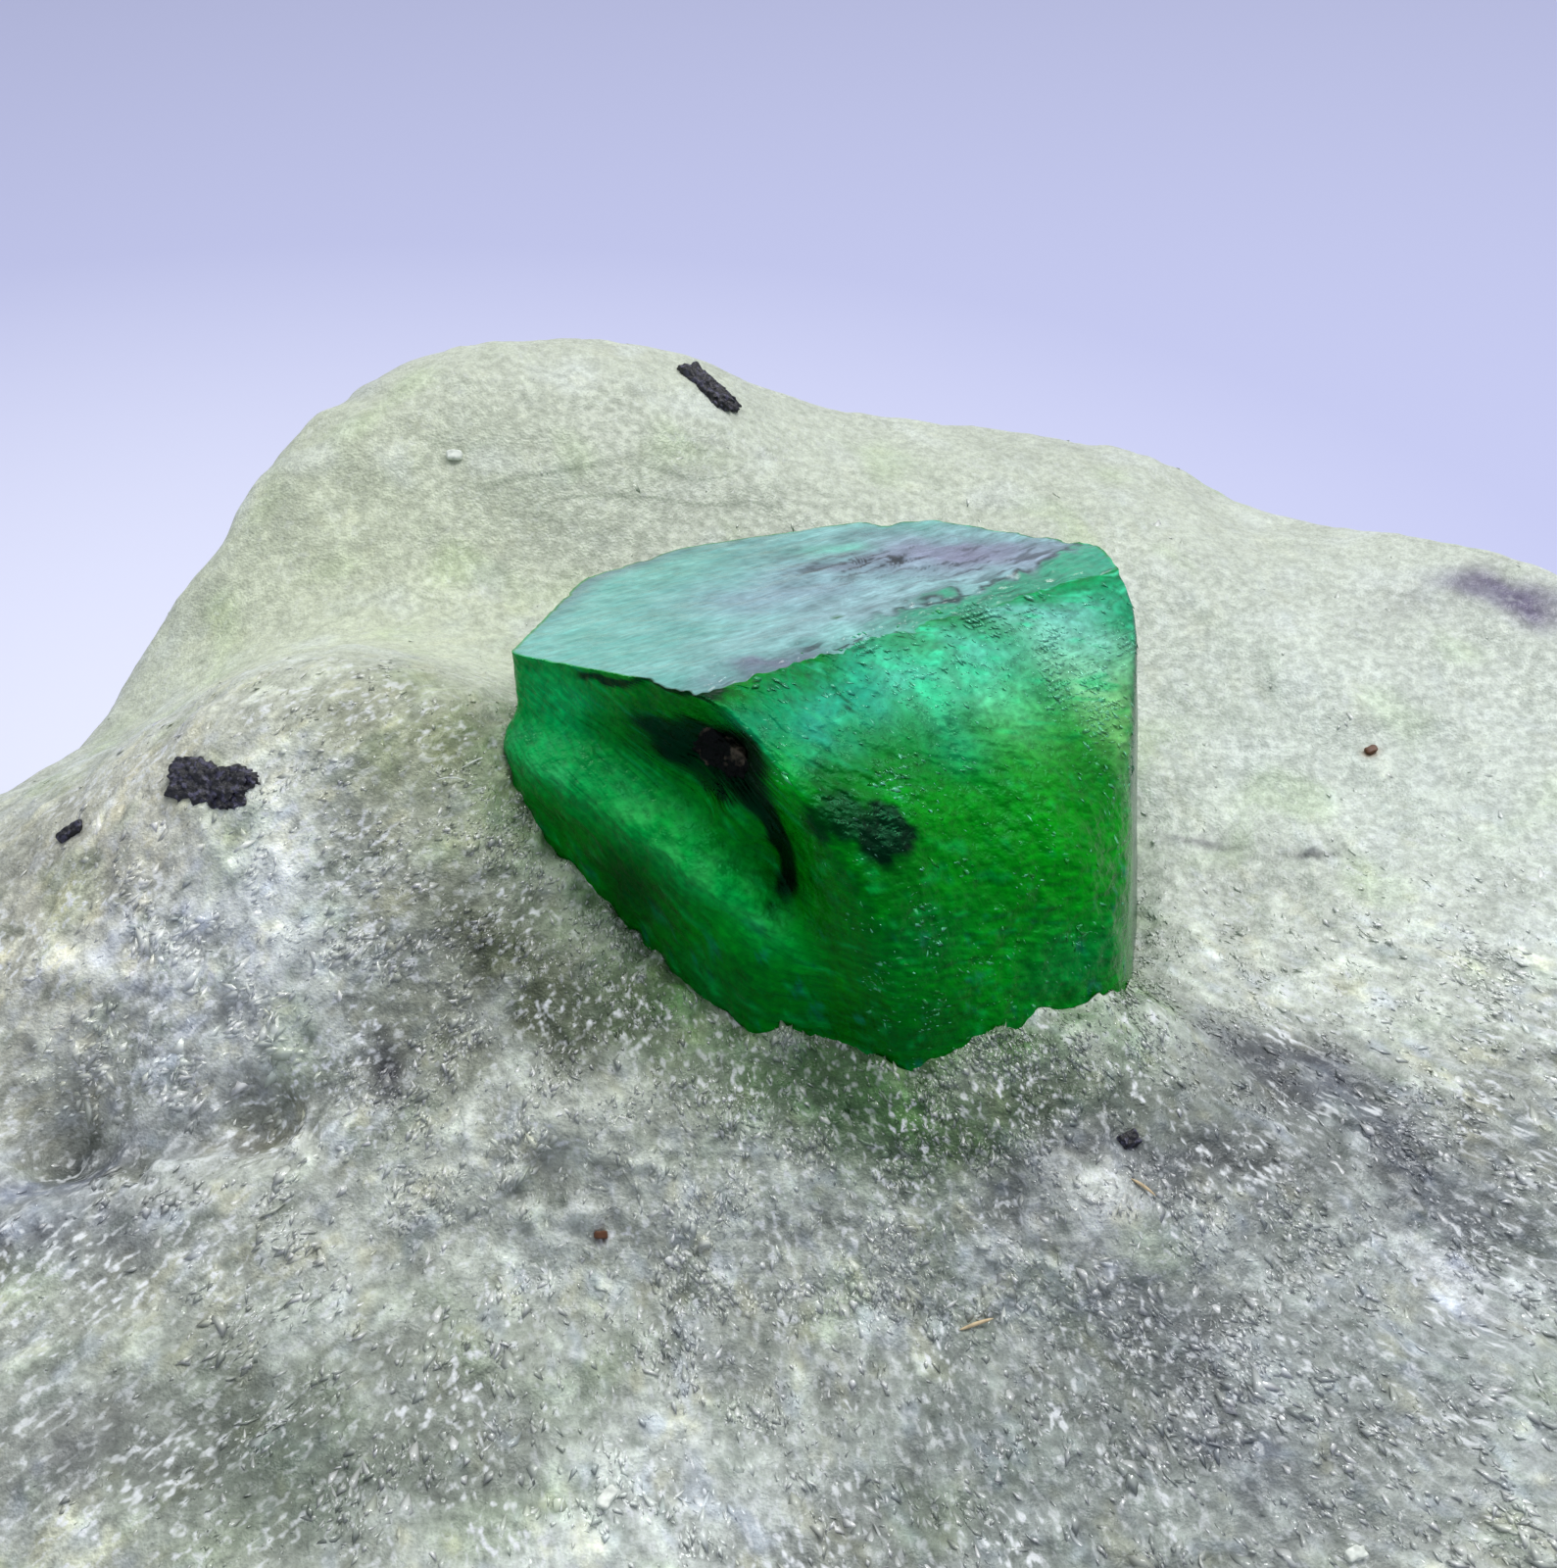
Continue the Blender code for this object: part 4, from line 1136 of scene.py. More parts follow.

# %% [markdown]
# ## Colours in the crystal
#
# The stone is a deep, almost blackish green below, a bright leaf green where light comes back
# through it, and teal where the surface is frosted. Pale teal along the ledge and high on the break
# is painted highlight, where those faces catch the light from above. On the right the break is
# bruised white. In the hollow on the left sits black rock, and thin black feathers run down from
# it; part of that black is painted shade deep in the hollow. On the flat end, bands of pale blue and
# purple-grey, partly painted reflection of the pale room, and dark lines follow the laminae. Each
# is a soft spot or a stripe, named by its direction and depth, with noise for its edge.

# %% Tints of the crystal
DEEP, LEAF = srgb(0, 92, 6), srgb(0, 132, 12)
SIDE_GAIN = np.array([0.9, 1.5, 1.0])
TEAL, PALE_TEAL_HIGHLIGHT = srgb(4, 142, 92), srgb(80, 190, 152)
BLACK_AND_HOLLOW_SHADE, EDGE_GREEN = srgb(0, 3, 1), srgb(12, 62, 50)
# Side casts: direction, depth, reach round and down, colour, strength. The pale teal casts just under the
# flat end, from direction 250 to 346, are painted highlight where the upper break catches the light from
# above, and the bright green at direction 199 is painted light that lifts the shaded left front.
SIDE_CASTS_AND_PAINTED_LIGHT = (
    (199.0, 0.8, 9.0, 0.8, (0, 176, 92), 0.97),
    (219.0, 0.85, 9.0, 0.5, (0, 58, 6), 0.8),
    (209.0, 1.1, 4.0, 0.3, (0, 120, 20), 0.6),
    (256.5, 1.3, 4.0, 0.5, (0, 160, 6), 0.95),
    (250.0, 0.45, 9.0, 0.35, (6, 124, 92), 0.75),
    (262.0, 0.8, 8.0, 0.4, (50, 140, 136), 0.75),
    (302.0, 0.6, 27.0, 0.6, (104, 190, 170), 0.92),
    (306.0, 1.6, 11.0, 0.5, (8, 134, 108), 0.8),
    (290.0, 1.2, 8.0, 0.45, (2, 132, 48), 0.6),
    (330.0, 1.1, 16.0, 0.9, (112, 192, 156), 0.85),
    (276.0, 0.6, 12.0, 0.45, (40, 148, 130), 0.8),
    (346.0, 0.5, 14.0, 0.5, (110, 186, 168), 0.85),
    (18.0, 0.6, 14.0, 0.7, (24, 140, 104), 0.9),
    (7.0, 1.6, 8.0, 0.7, (26, 116, 84), 0.85),
    (10.0, 0.35, 6.0, 0.25, (150, 196, 196), 0.8),
    (5.0, 0.75, 6.0, 0.4, (164, 200, 192), 0.9),
    (359.0, 1.25, 5.5, 0.45, (160, 194, 180), 0.95),
    (354.0, 1.75, 4.5, 0.5, (160, 194, 180), 0.95),
    (349.5, 2.4, 3.5, 0.55, (140, 180, 164), 0.85),
    (345.0, 3.2, 2.5, 0.7, (110, 160, 140), 0.7),
    (201.0, 2.4, 8.0, 0.7, (0, 116, 34), 0.85),
    (222.0, 3.7, 11.0, 0.9, (0, 46, 5), 0.85),
    (262.0, 2.7, 8.0, 0.7, (0, 92, 10), 0.6),
    (279.0, 3.0, 9.0, 0.6, (0, 88, 4), 0.7),
    (306.0, 3.7, 12.0, 0.6, (0, 108, 2), 0.6),
    (320.0, 3.0, 14.0, 1.1, (0, 138, 4), 0.8),
    (296.0, 2.3, 12.0, 0.5, (0, 132, 8), 0.6),
    (318.0, 5.2, 14.0, 0.55, (4, 112, 74), 0.75),
    (282.0, 4.1, 11.0, 0.5, (0, 96, 50), 0.7),
    (278.0, 5.7, 16.0, 0.7, (0, 70, 12), 0.75),
    (305.0, 6.1, 10.0, 0.4, (0, 96, 44), 0.6),
    (240.0, 5.0, 8.0, 0.6, (8, 96, 66), 0.6),
)
# Black spots: direction, depth, reach round and down, strength. They are partly black matter in the stone and
# partly painted shade deep in the hollow and its valley.
BLACK_SPOTS_AND_HOLLOW_SHADE = (
    (236.0, 1.2, 15.0, 0.5, 1.0),
    (244.5, 1.4, 7.0, 0.6, 1.0),
    (226.0, 0.85, 9.0, 0.2, 0.9),
    (248.5, 1.7, 4.5, 0.7, 1.0),
    (243.0, 1.75, 5.0, 0.4, 0.9),
    (247.0, 1.0, 3.0, 0.3, 0.9),
    (254.2, 2.9, 3.6, 0.7, 1.0),
    (251.5, 2.35, 3.4, 0.5, 1.0),
    (277.0, 2.35, 5.5, 0.44, 1.0),
    (267.0, 2.0, 7.0, 0.3, 0.85),
    (270.0, 2.1, 4.5, 0.14, 0.5),
    (264.0, 1.45, 0.8, 0.3, 0.5),
    (271.5, 0.7, 1.3, 0.1, 0.75),
    (213.0, 0.12, 8.0, 0.09, 0.95),
    (229.0, 0.12, 10.0, 0.1, 0.9),
)


# %% Tint the broken sides


def mix(colour, other, share):
    """Moves a colour towards another by a share at each point."""
    share = np.clip(share, 0, 1)[..., None]
    return colour * (1 - share) + other * share


def side_tint(direction, depth, local):
    """The colour of the crystal's sides: casts and painted highlight, then frost along the grain, then the
    black and painted shade.
    """
    flow = flow_on_break(local)
    wander = direction + 3.0 * gradient_noise(local, 0.9, 141) + 2.0 * gradient_noise(local, 0.3, 142)
    sunk = depth + 0.25 * gradient_noise(local, 0.9, 143) + 0.12 * gradient_noise(local, 0.28, 144)
    cloud = 0.5 + 0.7 * gradient_noise(local, 1.1, 145) + 0.4 * flow_noise(flow, 0.9, 0.2, 146)
    colour = mix(np.broadcast_to(LEAF, local.shape), DEEP, cloud)
    for facing, at_depth, half_angle, half_depth, cast, strength in SIDE_CASTS_AND_PAINTED_LIGHT:
        share = soft_spot(wander, sunk, facing, at_depth, half_angle, half_depth)
        colour = mix(colour, srgb(*cast), strength * share)
    on_ledge = ledge_share(direction)
    past_crest = sunk - ledge_crest(direction)
    # Painted highlight: teal and pale teal along the ledge's top, where it faces up into the light.
    ledge_highlight = on_ledge * np.exp(-(((past_crest - 0.3) / 0.42) ** 2))
    colour = mix(colour, TEAL * 1.25, 0.85 * ledge_highlight)
    pale = smoothstep(0.1, 0.5, gradient_noise(local, 0.5, 147) + 0.2)
    lip_highlight = on_ledge * np.exp(-(((past_crest - 0.2) / 0.25) ** 2))
    colour = mix(colour, PALE_TEAL_HIGHLIGHT * 0.8, 0.5 * lip_highlight * pale)
    # Painted highlight: pale teal on the frosted strands high on the break, where it catches the light from
    # above.
    upper = (1 - smoothstep(0.3, 2.4, sunk)) * smoothstep(252, 268, (wander - 100) % 360 + 100)
    strands = flow_noise(flow, 0.7, 0.09, 151) + 0.5 * flow_noise(flow, 0.3, 0.05, 152)
    strands = strands + 0.35 * gradient_noise(local, 1.3, 153)
    frost_share = smoothstep(0.25, 0.6, strands)
    colour = mix(colour, TEAL * 1.05, 0.6 * frost_share)
    colour = mix(colour, PALE_TEAL_HIGHLIGHT * 1.15, 0.75 * frost_share * upper)
    colour = mix(colour, DEEP * 0.8, 0.5 * smoothstep(0.25, 0.8, -strands))
    blue_gain = 1.35 - 0.8 * smoothstep(0.6, 2.4, sunk)
    colour = colour * SIDE_GAIN
    colour[..., 2] *= blue_gain
    low = smoothstep(3.2, 4.6, sunk)
    flecks = smoothstep(0.3, 0.6, gradient_noise(local, 0.45, 154) + 0.5 * gradient_noise(local, 0.15, 155))
    colour = mix(colour, srgb(20, 140, 104), 0.6 * flecks * low)
    contact_frost = smoothstep(-0.9, -0.1, sunk - contact_depth(direction))
    colour = mix(colour, srgb(16, 112, 82), 0.6 * contact_frost * flecks)
    # Black matter, and painted shade deep in the hollow.
    for facing, at_depth, half_angle, half_depth, strength in BLACK_SPOTS_AND_HOLLOW_SHADE:
        black = soft_spot(wander, sunk, facing, at_depth, half_angle, half_depth)
        colour = mix(colour, BLACK_AND_HOLLOW_SHADE, strength * smoothstep(0.2, 0.5, black))
    prism = 1 - smoothstep(0.1, 0.5, prism_and_break(direction, depth)[1])
    on_right = smoothstep(340, 350, wander) + (1 - smoothstep(8, 30, wander))
    return mix(colour, EDGE_GREEN, 0.8 * on_right * prism * smoothstep(0.3, 0.9, depth))


# %% Tints of the flat end
# Casts on the flat end: place, reach, turn, colour, strength. The pale blue and purple-grey ones are partly
# painted reflection of the pale room.
END_CASTS_AND_REFLECTION = (
    ((-0.9, 1.6), (2.2, 1.6), 20, (138, 164, 180), 0.85),
    ((2.6, 3.7), (3.8, 1.7), -20, (134, 134, 162), 0.95),
    ((0.2, 0.3), (3.4, 0.7), 38, (150, 182, 190), 0.75),
    ((-1.2, -2.3), (1.4, 0.6), 38, (108, 106, 132), 0.85),
    ((0.0, 4.7), (1.0, 0.6), 0, (100, 178, 158), 0.85),
    ((0.2, 3.5), (1.3, 0.5), 15, (104, 118, 136), 0.8),
)
RIFT_PLACES = (
    ((0.5, 3.5), (1.6, 0.7), 15, 1.0),
    ((3.0, 3.1), (2.6, 1.2), 10, 0.8),
    ((-1.0, -2.4), (1.4, 0.5), 38, 0.7),
)
# The flat end's pale teal ground is partly painted reflection of the pale room.
END_TEAL_AND_REFLECTION, END_PALE_AND_REFLECTION, END_DARK = srgb(92, 172, 158), srgb(126, 192, 182), srgb(16, 30, 36)
CORNER_TEAL, STRIP_GREEN = srgb(44, 164, 132), srgb(48, 158, 120)


def drawn_lines(along, across, length, width, seed):
    """Noise drawn out along the laminae of the flat end."""
    drawn = np.stack([along / length, across / width, along * 0 + seed / 3], axis=-1)
    return gradient_noise(drawn, 1.0, seed)


def end_tint(x, y):
    """The colour of the flat end: pale teal and purple-grey to the right, partly painted reflection of the
    pale room, and dark lines by the break.
    """
    spot = np.stack([x, y, np.full_like(x, 0.3)], axis=-1)
    facing = math.radians(FRACTURE_FACES + 90)
    along = x * math.cos(facing) + y * math.sin(facing) + 0.25 * gradient_noise(spot, 1.2, 160)
    inland = from_break_line(x, y)
    across = inland + 0.12 * gradient_noise(spot, 0.7, 159)
    lines = 1.2 * drawn_lines(along, across, 1.1, 0.2, 161)
    lines = lines + 0.9 * drawn_lines(along, across, 0.5, 0.09, 162)
    blotch = 1.3 * gradient_noise(spot, 0.9, 163) + 0.9 * gradient_noise(spot, 0.35, 164)
    wx, wy = x + 0.6 * gradient_noise(spot, 0.8, 165), y + 0.5 * gradient_noise(spot, 0.8, 166)
    colour = mix(np.broadcast_to(END_TEAL_AND_REFLECTION, spot.shape), END_PALE_AND_REFLECTION, 0.4 + 0.5 * blotch)
    for centre, reach, turn_degrees, cast, strength in END_CASTS_AND_REFLECTION:
        colour = mix(colour, srgb(*cast), strength * bell(wx, wy, centre, reach, turn_degrees))
    rim_gap = prism_and_break(np.degrees(np.arctan2(y, x)) % 360, 0.0)[0] - np.hypot(x, y)
    left_back = bell(x, y, (-4.2, 3.4), (2.2, 3.0), -20)
    colour = mix(colour, srgb(92, 104, 120), 0.8 * left_back * np.exp(-((rim_gap / 0.4) ** 2)))
    right_side = smoothstep(-2.5, 1.5, x * 0.9 + y * 0.4)
    colour = colour * (1 + (0.12 + 0.2 * right_side) * lines + (0.08 + 0.16 * right_side) * blotch)[..., None]
    near_break = (1 - smoothstep(0.2, 1.0, inland + 0.4 * blotch)) * smoothstep(-2.6, -0.8, along)
    cracks = smoothstep(0.18, 0.42, lines + 0.3 * blotch) * near_break
    rifts = smoothstep(0.2, 0.52, -lines + 0.4 * blotch)
    dark = cracks
    for centre, reach, turn_degrees, strength in RIFT_PLACES:
        dark = dark + strength * rifts * bell(x, y, centre, reach, turn_degrees)
    colour = mix(colour, END_DARK, 0.85 * dark)
    on_strip = smoothstep(-0.3, 1.8, along)
    past_strip = inland + 0.45 * blotch - 0.12 * along
    strip = on_strip * (1 - smoothstep(0.3, 0.6, past_strip))
    seam = on_strip * np.exp(-(((past_strip - 0.52) / 0.1) ** 2))
    colour = mix(colour, STRIP_GREEN * (1 + 0.5 * lines)[..., None], 0.9 * strip)
    colour = mix(colour, END_DARK, 0.9 * seam * smoothstep(-0.35, 0.1, lines))
    corner = smoothstep(2.9, 4.3, x * 0.95 - y * 0.3)
    return mix(colour, CORNER_TEAL, 0.9 * corner * smoothstep(-0.7, 0.2, blotch)).clip(0, 1)


# %% Colour the whole crystal
in_order = np.argsort(pocket_direction)


def contact_depth(direction):
    """Depth on the crystal at which the rock meets it."""
    return np.interp(direction, pocket_direction[in_order], pocket_depth[in_order], period=360)


side_colours = side_tint(direction, depth, smooth_side)
end_colours = end_tint(end[..., 0], end[..., 1])
foot_colours = np.broadcast_to(DEEP, foot.shape)
crystal_tint = np.concatenate([end_colours, side_colours, foot_colours])
crystal_flow = flow_on_break(crystal_local)
frost = np.concatenate([np.zeros(end.shape[:2]), 0.25 + 0.6 * rough_front, np.ones(foot.shape[:2])])
print("mean colour of the broken sides, linear:", side_colours.mean(axis=(0, 1)).round(3))

# %% [markdown]
# ### The stone's finish
#
# Emerald is clear in principle but this one is clouded, so its shader is part diffuse and part
# transmitting, with beryl's own index of refraction, 1.58. A volume that swallows red and blue
# deepens the green with thickness. The flat end is a growth face, glossy and thinly filmed, and
# mirrors the pale room, so it has its own material without the teal cast of the broken faces. Its
# pale blue and purple-grey tint adds painted reflection of that room to the real one.

# %% Crystal materials
BERYL_IOR = 1.58


def deep_green_volume(made):
    """Swallows red and most blue on the way through, as chromium in beryl does."""
    volume = made.nodes.new("ShaderNodeVolumeAbsorption")
    volume.inputs["Color"].default_value = (0.0, 0.8, 0.3, 1)
    volume.inputs["Density"].default_value = 600.0
    made.links.new(volume.outputs[0], made.output.inputs["Volume"])


def mottled_tint(made, first, first_range, second, second_range):
    """The painted tint times two mottled tones, each a grain stretched to its own range."""
    first_tone = made.remap(first, 0.3, 0.7, *first_range)
    second_tone = made.remap(second, 0.3, 0.7, *second_range)
    tone = made.math("MULTIPLY", first_tone, second_tone)
    made.feed(made.scaled(made.attribute("tint")["Color"], tone), "Base Color")


def emerald_sides():
    """Green and partly clear, with silky strands along the grain of the break and frost on it."""
    made = Recipe("emerald, broken and prism faces")
    flow = made.attribute("flow")["Color"]
    strands = made.noise(0.08, 1, stretch=(3.5, 1, 8), source=flow, unit=1.0)
    grit = made.noise(0.16, 2)
    mottled_tint(made, strands, (0.78, 1.28), grit, (0.8, 1.25))
    strand_rough = made.remap(strands, 0.35, 0.65, 0.2, 0.55)
    rough = made.math("MULTIPLY", made.attribute("frost")["Fac"], strand_rough)
    made.feed(made.math("ADD", rough, 0.12), "Roughness")
    made.bump(grit, 0.05)
    made.plain(IOR=BERYL_IOR, Transmission_Weight=0.3)
    made.plain(Specular_IOR_Level=0.35, Specular_Tint=(0.01, 0.6, 0.2))
    deep_green_volume(made)
    return made.material


def emerald_end():
    """The glossy growth face, with hair-fine lines along its laminae."""
    made = Recipe("emerald, flat end")
    hairs = made.noise(0.07, 2, stretch=(6, 1, 1), turn=38)
    pits = made.noise(0.14, 2)
    mottled_tint(made, hairs, (0.82, 1.18), pits, (0.9, 1.1))
    made.feed(made.remap(made.noise(0.5, 4), 0.35, 0.7, 0.22, 0.42), "Roughness")
    made.bump(pits, 0.016)
    made.plain(IOR=BERYL_IOR, Coat_Weight=0.15, Coat_Roughness=0.2)
    deep_green_volume(made)
    return made.material


# %% Crystal body
mesh = ring_mesh("crystal_body", crystal_points, crystal_normals, end_pole, foot_pole)
vertex_values(mesh, "tint", crystal_tint)
vertex_values(mesh, "frost", frost)
vertex_values(mesh, "flow", crystal_flow)
material_number = np.ones(len(mesh.polygons), np.int32)
material_number[: (END_ROWS - 1) * CRYSTAL_COLUMNS] = 0
first_fan = (len(crystal_points) - 1) * CRYSTAL_COLUMNS
material_number[first_fan : first_fan + CRYSTAL_COLUMNS] = 0
mesh.polygons.foreach_set("material_index", material_number)
place("crystal_body", mesh, (emerald_end(), emerald_sides()), "emerald", "emerald_crystal")

# %% [markdown]
# ## Dark grains
#
# A few black grains stand on the rock, and a splinter of dark rock is wedged in the crystal's
# hollow; its near-black also stands for the shade deep in that hollow, so it is partly painted
# shade. Each is a ball pressed towards a box, by dividing each direction by its 5-norm, and
# then roughened until its edges are ragged. It lies in the ground's own tangent plane.

# %% Grain shapes and places
BLACK_GRAINS = (
    ("black_grain_left", (-11.3, -1.7), (1.75, 1.0, 0.7), -14.0),
    ("black_grain_far_left", (-14.0, -1.4), (0.8, 0.45, 0.45), 20.0),
    ("black_grain_ridge", (-3.0, 12.7), (1.6, 0.8, 0.7), -35.0),
    ("black_grain_front", (4.4, -6.3), (0.6, 0.45, 0.45), 35.0),
)
FINE_GRAIN_SHARES = ((0.98, 0.85, 0.6), (0.6, 0.6, 0.8), (0.95, 0.8, 0.75), (0.6, 0.6, 0.8))
GRAIN_SUNK = 0.1
INCLUSION_DIRECTION, INCLUSION_DEPTH, INCLUSION_SIZE = 238.5, 1.4, (2.1, 0.85, 0.8)
INCLUSION_TURN, INCLUSION_SUNK, INCLUSION_SHARE = -30.0, 0.05, (1.1, 0.8, 0.7)
BOX_NORM = 5


def rock_top(x, y):
    """Height of the lump's top at one place, with its lumps."""
    spot = np.array([x, y, float(ground_height(np.array(x), np.array(y)))])
    return spot[2] + float(layered(spot, LUMPS, 11, value_noise))


def tangent_axes(x, y, turn_degrees):
    """Three unit vectors at a place on the rock: along the turn, across it, and out of the rock."""
    step = 0.5
    slope_x = (rock_top(x + step, y) - rock_top(x - step, y)) / (2 * step)
    slope_y = (rock_top(x, y + step) - rock_top(x, y - step)) / (2 * step)
    up = np.array([-slope_x, -slope_y, 1.0])
    up /= np.linalg.norm(up)
    turned = math.radians(turn_degrees)
    heading = np.array([math.cos(turned), math.sin(turned), 0.0])
    along = heading - up * (heading @ up)
    along /= np.linalg.norm(along)
    return np.array([along, np.cross(up, along), up])


# %% Ragged grains


def ragged_grain(name, size, centre, axes, seed, material, slot, askew=0.0):
    """A rounded box, sheared askew, whose surface is pushed in and out by noise."""
    rows_of, columns_of = 70, 130
    polar = np.linspace(0, math.pi, rows_of + 1)[1:-1, None]
    azimuth = np.linspace(0, 2 * math.pi, columns_of, endpoint=False)[None, :]
    level = np.cos(polar) + 0 * azimuth
    ball = np.stack([np.sin(polar) * np.cos(azimuth), np.sin(polar) * np.sin(azimuth), level], axis=-1)
    boxed = ball / (np.abs(ball) ** BOX_NORM).sum(axis=-1, keepdims=True) ** (1 / BOX_NORM)
    half = np.array(size) / 2
    spot = boxed * half
    rough = 1 + 0.22 * gradient_noise(spot + seed * 3.1, 0.5, 170 + seed)
    rough = rough + 0.24 * gradient_noise(spot, 0.2, 180 + seed)
    rough = rough + 0.2 * gradient_noise(spot, 0.09, 190 + seed)
    ragged = spot * rough[..., None]
    ragged[..., 1] += ragged[..., 0] * askew
    points = ragged @ axes + centre
    poles = [centre + axes[2] * half[2] * sign for sign in (1, -1)]
    mesh = ring_mesh(name, points, grid_normals(points), *poles)
    replaced = [name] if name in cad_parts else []
    place(name + "_rough" if replaced else name, mesh, material, slot, *replaced)


def dark_material(name, colour, patch_colour, patch_size, covered, roughness, gloss):
    """A dark grain: patches of a second colour over a share of it, and a pitted surface."""
    made = Recipe(name)
    pits = made.noise(0.12, 3)
    patch = made.remap(made.noise(patch_size, 3), 0.62 - covered / 2, 0.68 - covered / 2, 0.0, 1.0)
    patch = made.math("MULTIPLY", patch, made.remap(pits, 0.35, 0.6, 0.2, 1.0))
    made.feed(made.blend(patch, colour, patch_colour), "Base Color")
    made.bump(pits, 0.06)
    made.plain(IOR=1.6, Roughness=roughness, Specular_IOR_Level=gloss)
    return made.material


# %% The black grains and the inclusion
black_mineral = dark_material("black mineral", srgb(20, 20, 27), srgb(78, 76, 100), 0.14, 0.2, 0.5, 0.4)
# The dark rock in the hollow is nearly black: partly its own colour, partly painted shade of the hollow.
dark_rock = dark_material("dark rock in the crystal", srgb(2, 6, 4), srgb(84, 76, 62), 0.45, 0.22, 0.7, 0.12)
for seed, (name, spot, size, grain_turn) in enumerate(BLACK_GRAINS):
    axes = tangent_axes(*spot, grain_turn)
    centre = np.array([*spot, rock_top(*spot)]) - axes[2] * GRAIN_SUNK
    size = np.array(size) * FINE_GRAIN_SHARES[seed]
    askew = -0.12 if name == "black_grain_left" else 0.0
    ragged_grain(name, size, centre, axes, seed, black_mineral, "black_mineral", askew)

facing = math.radians(INCLUSION_DIRECTION)
seat_reach = float(crystal_reach(np.array(INCLUSION_DIRECTION), np.array(INCLUSION_DEPTH)))
seat = to_specimen(around_axis(INCLUSION_DIRECTION, seat_reach - INCLUSION_SUNK, INCLUSION_DEPTH))
out_of = np.array([math.cos(facing), math.sin(facing), 0.0])
sideways = np.array([-math.sin(facing), math.cos(facing), 0.0])
tilt = math.radians(INCLUSION_TURN)
along = sideways * math.cos(tilt) + np.array([0, 0, 1.0]) * math.sin(tilt)
axes = np.array([along, np.cross(out_of, along), out_of]) @ CRYSTAL_TURN.T
size = np.array(INCLUSION_SIZE) * INCLUSION_SHARE
ragged_grain("dark_inclusion", size, seat, axes, 9, dark_rock, "dark_rock")

# %% [markdown]
# ## Glints
#
# What makes this rock look like sugar is its loose and broken grains: thin flakes that lie along
# its streaks and flash where one faces the light. Each flake is a flat-faced lens with six
# corners and eight faces, so thirty-five thousand of them stay light. They are scattered over the
# fine surface by area, in clumps, and most thickly in front, where the rock is freshly broken.

# %% Scatter flakes
SPREAD = np.random.default_rng(7)


def flake_mesh(name, centres, normals, headings, lengths, slimness, tones):
    """Six-cornered lenses: two tips along the heading, two across it, one above and one below."""
    count = len(centres)
    normals = normals + SPREAD.normal(0, 0.2, (count, 3))
    normals /= np.linalg.norm(normals, axis=1, keepdims=True)
    along = headings - normals * (headings * normals).sum(axis=1, keepdims=True)
    along /= np.linalg.norm(along, axis=1, keepdims=True)
    across = np.cross(normals, along)
    half = lengths[:, None] / 2
    wide = half * slimness[:, None]
    thick = wide * 0.2
    centres = centres - normals * thick * 0.7
    skew = SPREAD.uniform(-0.35, 0.35, (count, 2))
    corners = np.stack(
        [
            along * half,
            across * wide + along * half * skew[:, :1],
            -along * half,
            -across * wide + along * half * skew[:, 1:],
            normals * thick,
            -normals * thick,
        ],
        axis=1,
    )
    vertices = (centres[:, None] + corners).reshape(-1, 3)
    one = np.array([[0, 1, 4], [1, 2, 4], [2, 3, 4], [3, 0, 4], [1, 0, 5], [2, 1, 5], [3, 2, 5], [0, 3, 5]])
    faces = (np.arange(count)[:, None, None] * 6 + one).reshape(-1, 3)
    mesh = fill_mesh(name, vertices, faces.ravel(), np.arange(len(faces)) * 3)
    vertex_values(mesh, "tone", np.repeat(tones, 6, axis=0))
    return mesh


def scatter(points, normals, chance, count):
    """Picks grid places at random, in proportion to their area times a chance."""
    down_step = np.linalg.norm(np.gradient(points, axis=0), axis=-1)
    along_step = np.linalg.norm(np.roll(points, -1, axis=1) - points, axis=-1)
    weight = (down_step * along_step * chance).ravel()
    picked = SPREAD.choice(weight.size, size=count, p=weight / weight.sum())
    jitter = SPREAD.uniform(-0.5, 0.5, (count, 1)) * along_step.ravel()[picked, None]
    sideways = np.roll(points, -1, axis=1) - points
    sideways = sideways.reshape(-1, 3)[picked]
    sideways /= np.maximum(np.linalg.norm(sideways, axis=1, keepdims=True), 1e-9)
    return points.reshape(-1, 3)[picked] + sideways * jitter, normals.reshape(-1, 3)[picked], picked


def streak_heading(points, spread):
    """A heading in plan along the local streak, give or take a spread in degrees."""
    weights = streak_weights(points[:, 0], points[:, 1])
    doubled = sum(w * np.exp(2j * math.radians(s[0])) for w, s in zip(weights, STREAKS))
    heading = np.angle(doubled) / 2 + np.radians(SPREAD.normal(0, spread, len(points)))
    return np.stack([np.cos(heading), np.sin(heading), np.zeros(len(points))], axis=-1)


# %% Flakes on the rock


def glint_material():
    """Each flake has one tone of its own, and a gloss that varies from place to place."""
    made = Recipe("loose talc and carbonate flakes")
    made.feed(made.attribute("tone")["Color"], "Base Color")
    made.feed(made.remap(made.noise(0.5), 0.35, 0.65, 0.1, 0.3), "Roughness")
    made.plain(IOR=1.6, Specular_IOR_Level=0.7)
    return made.material


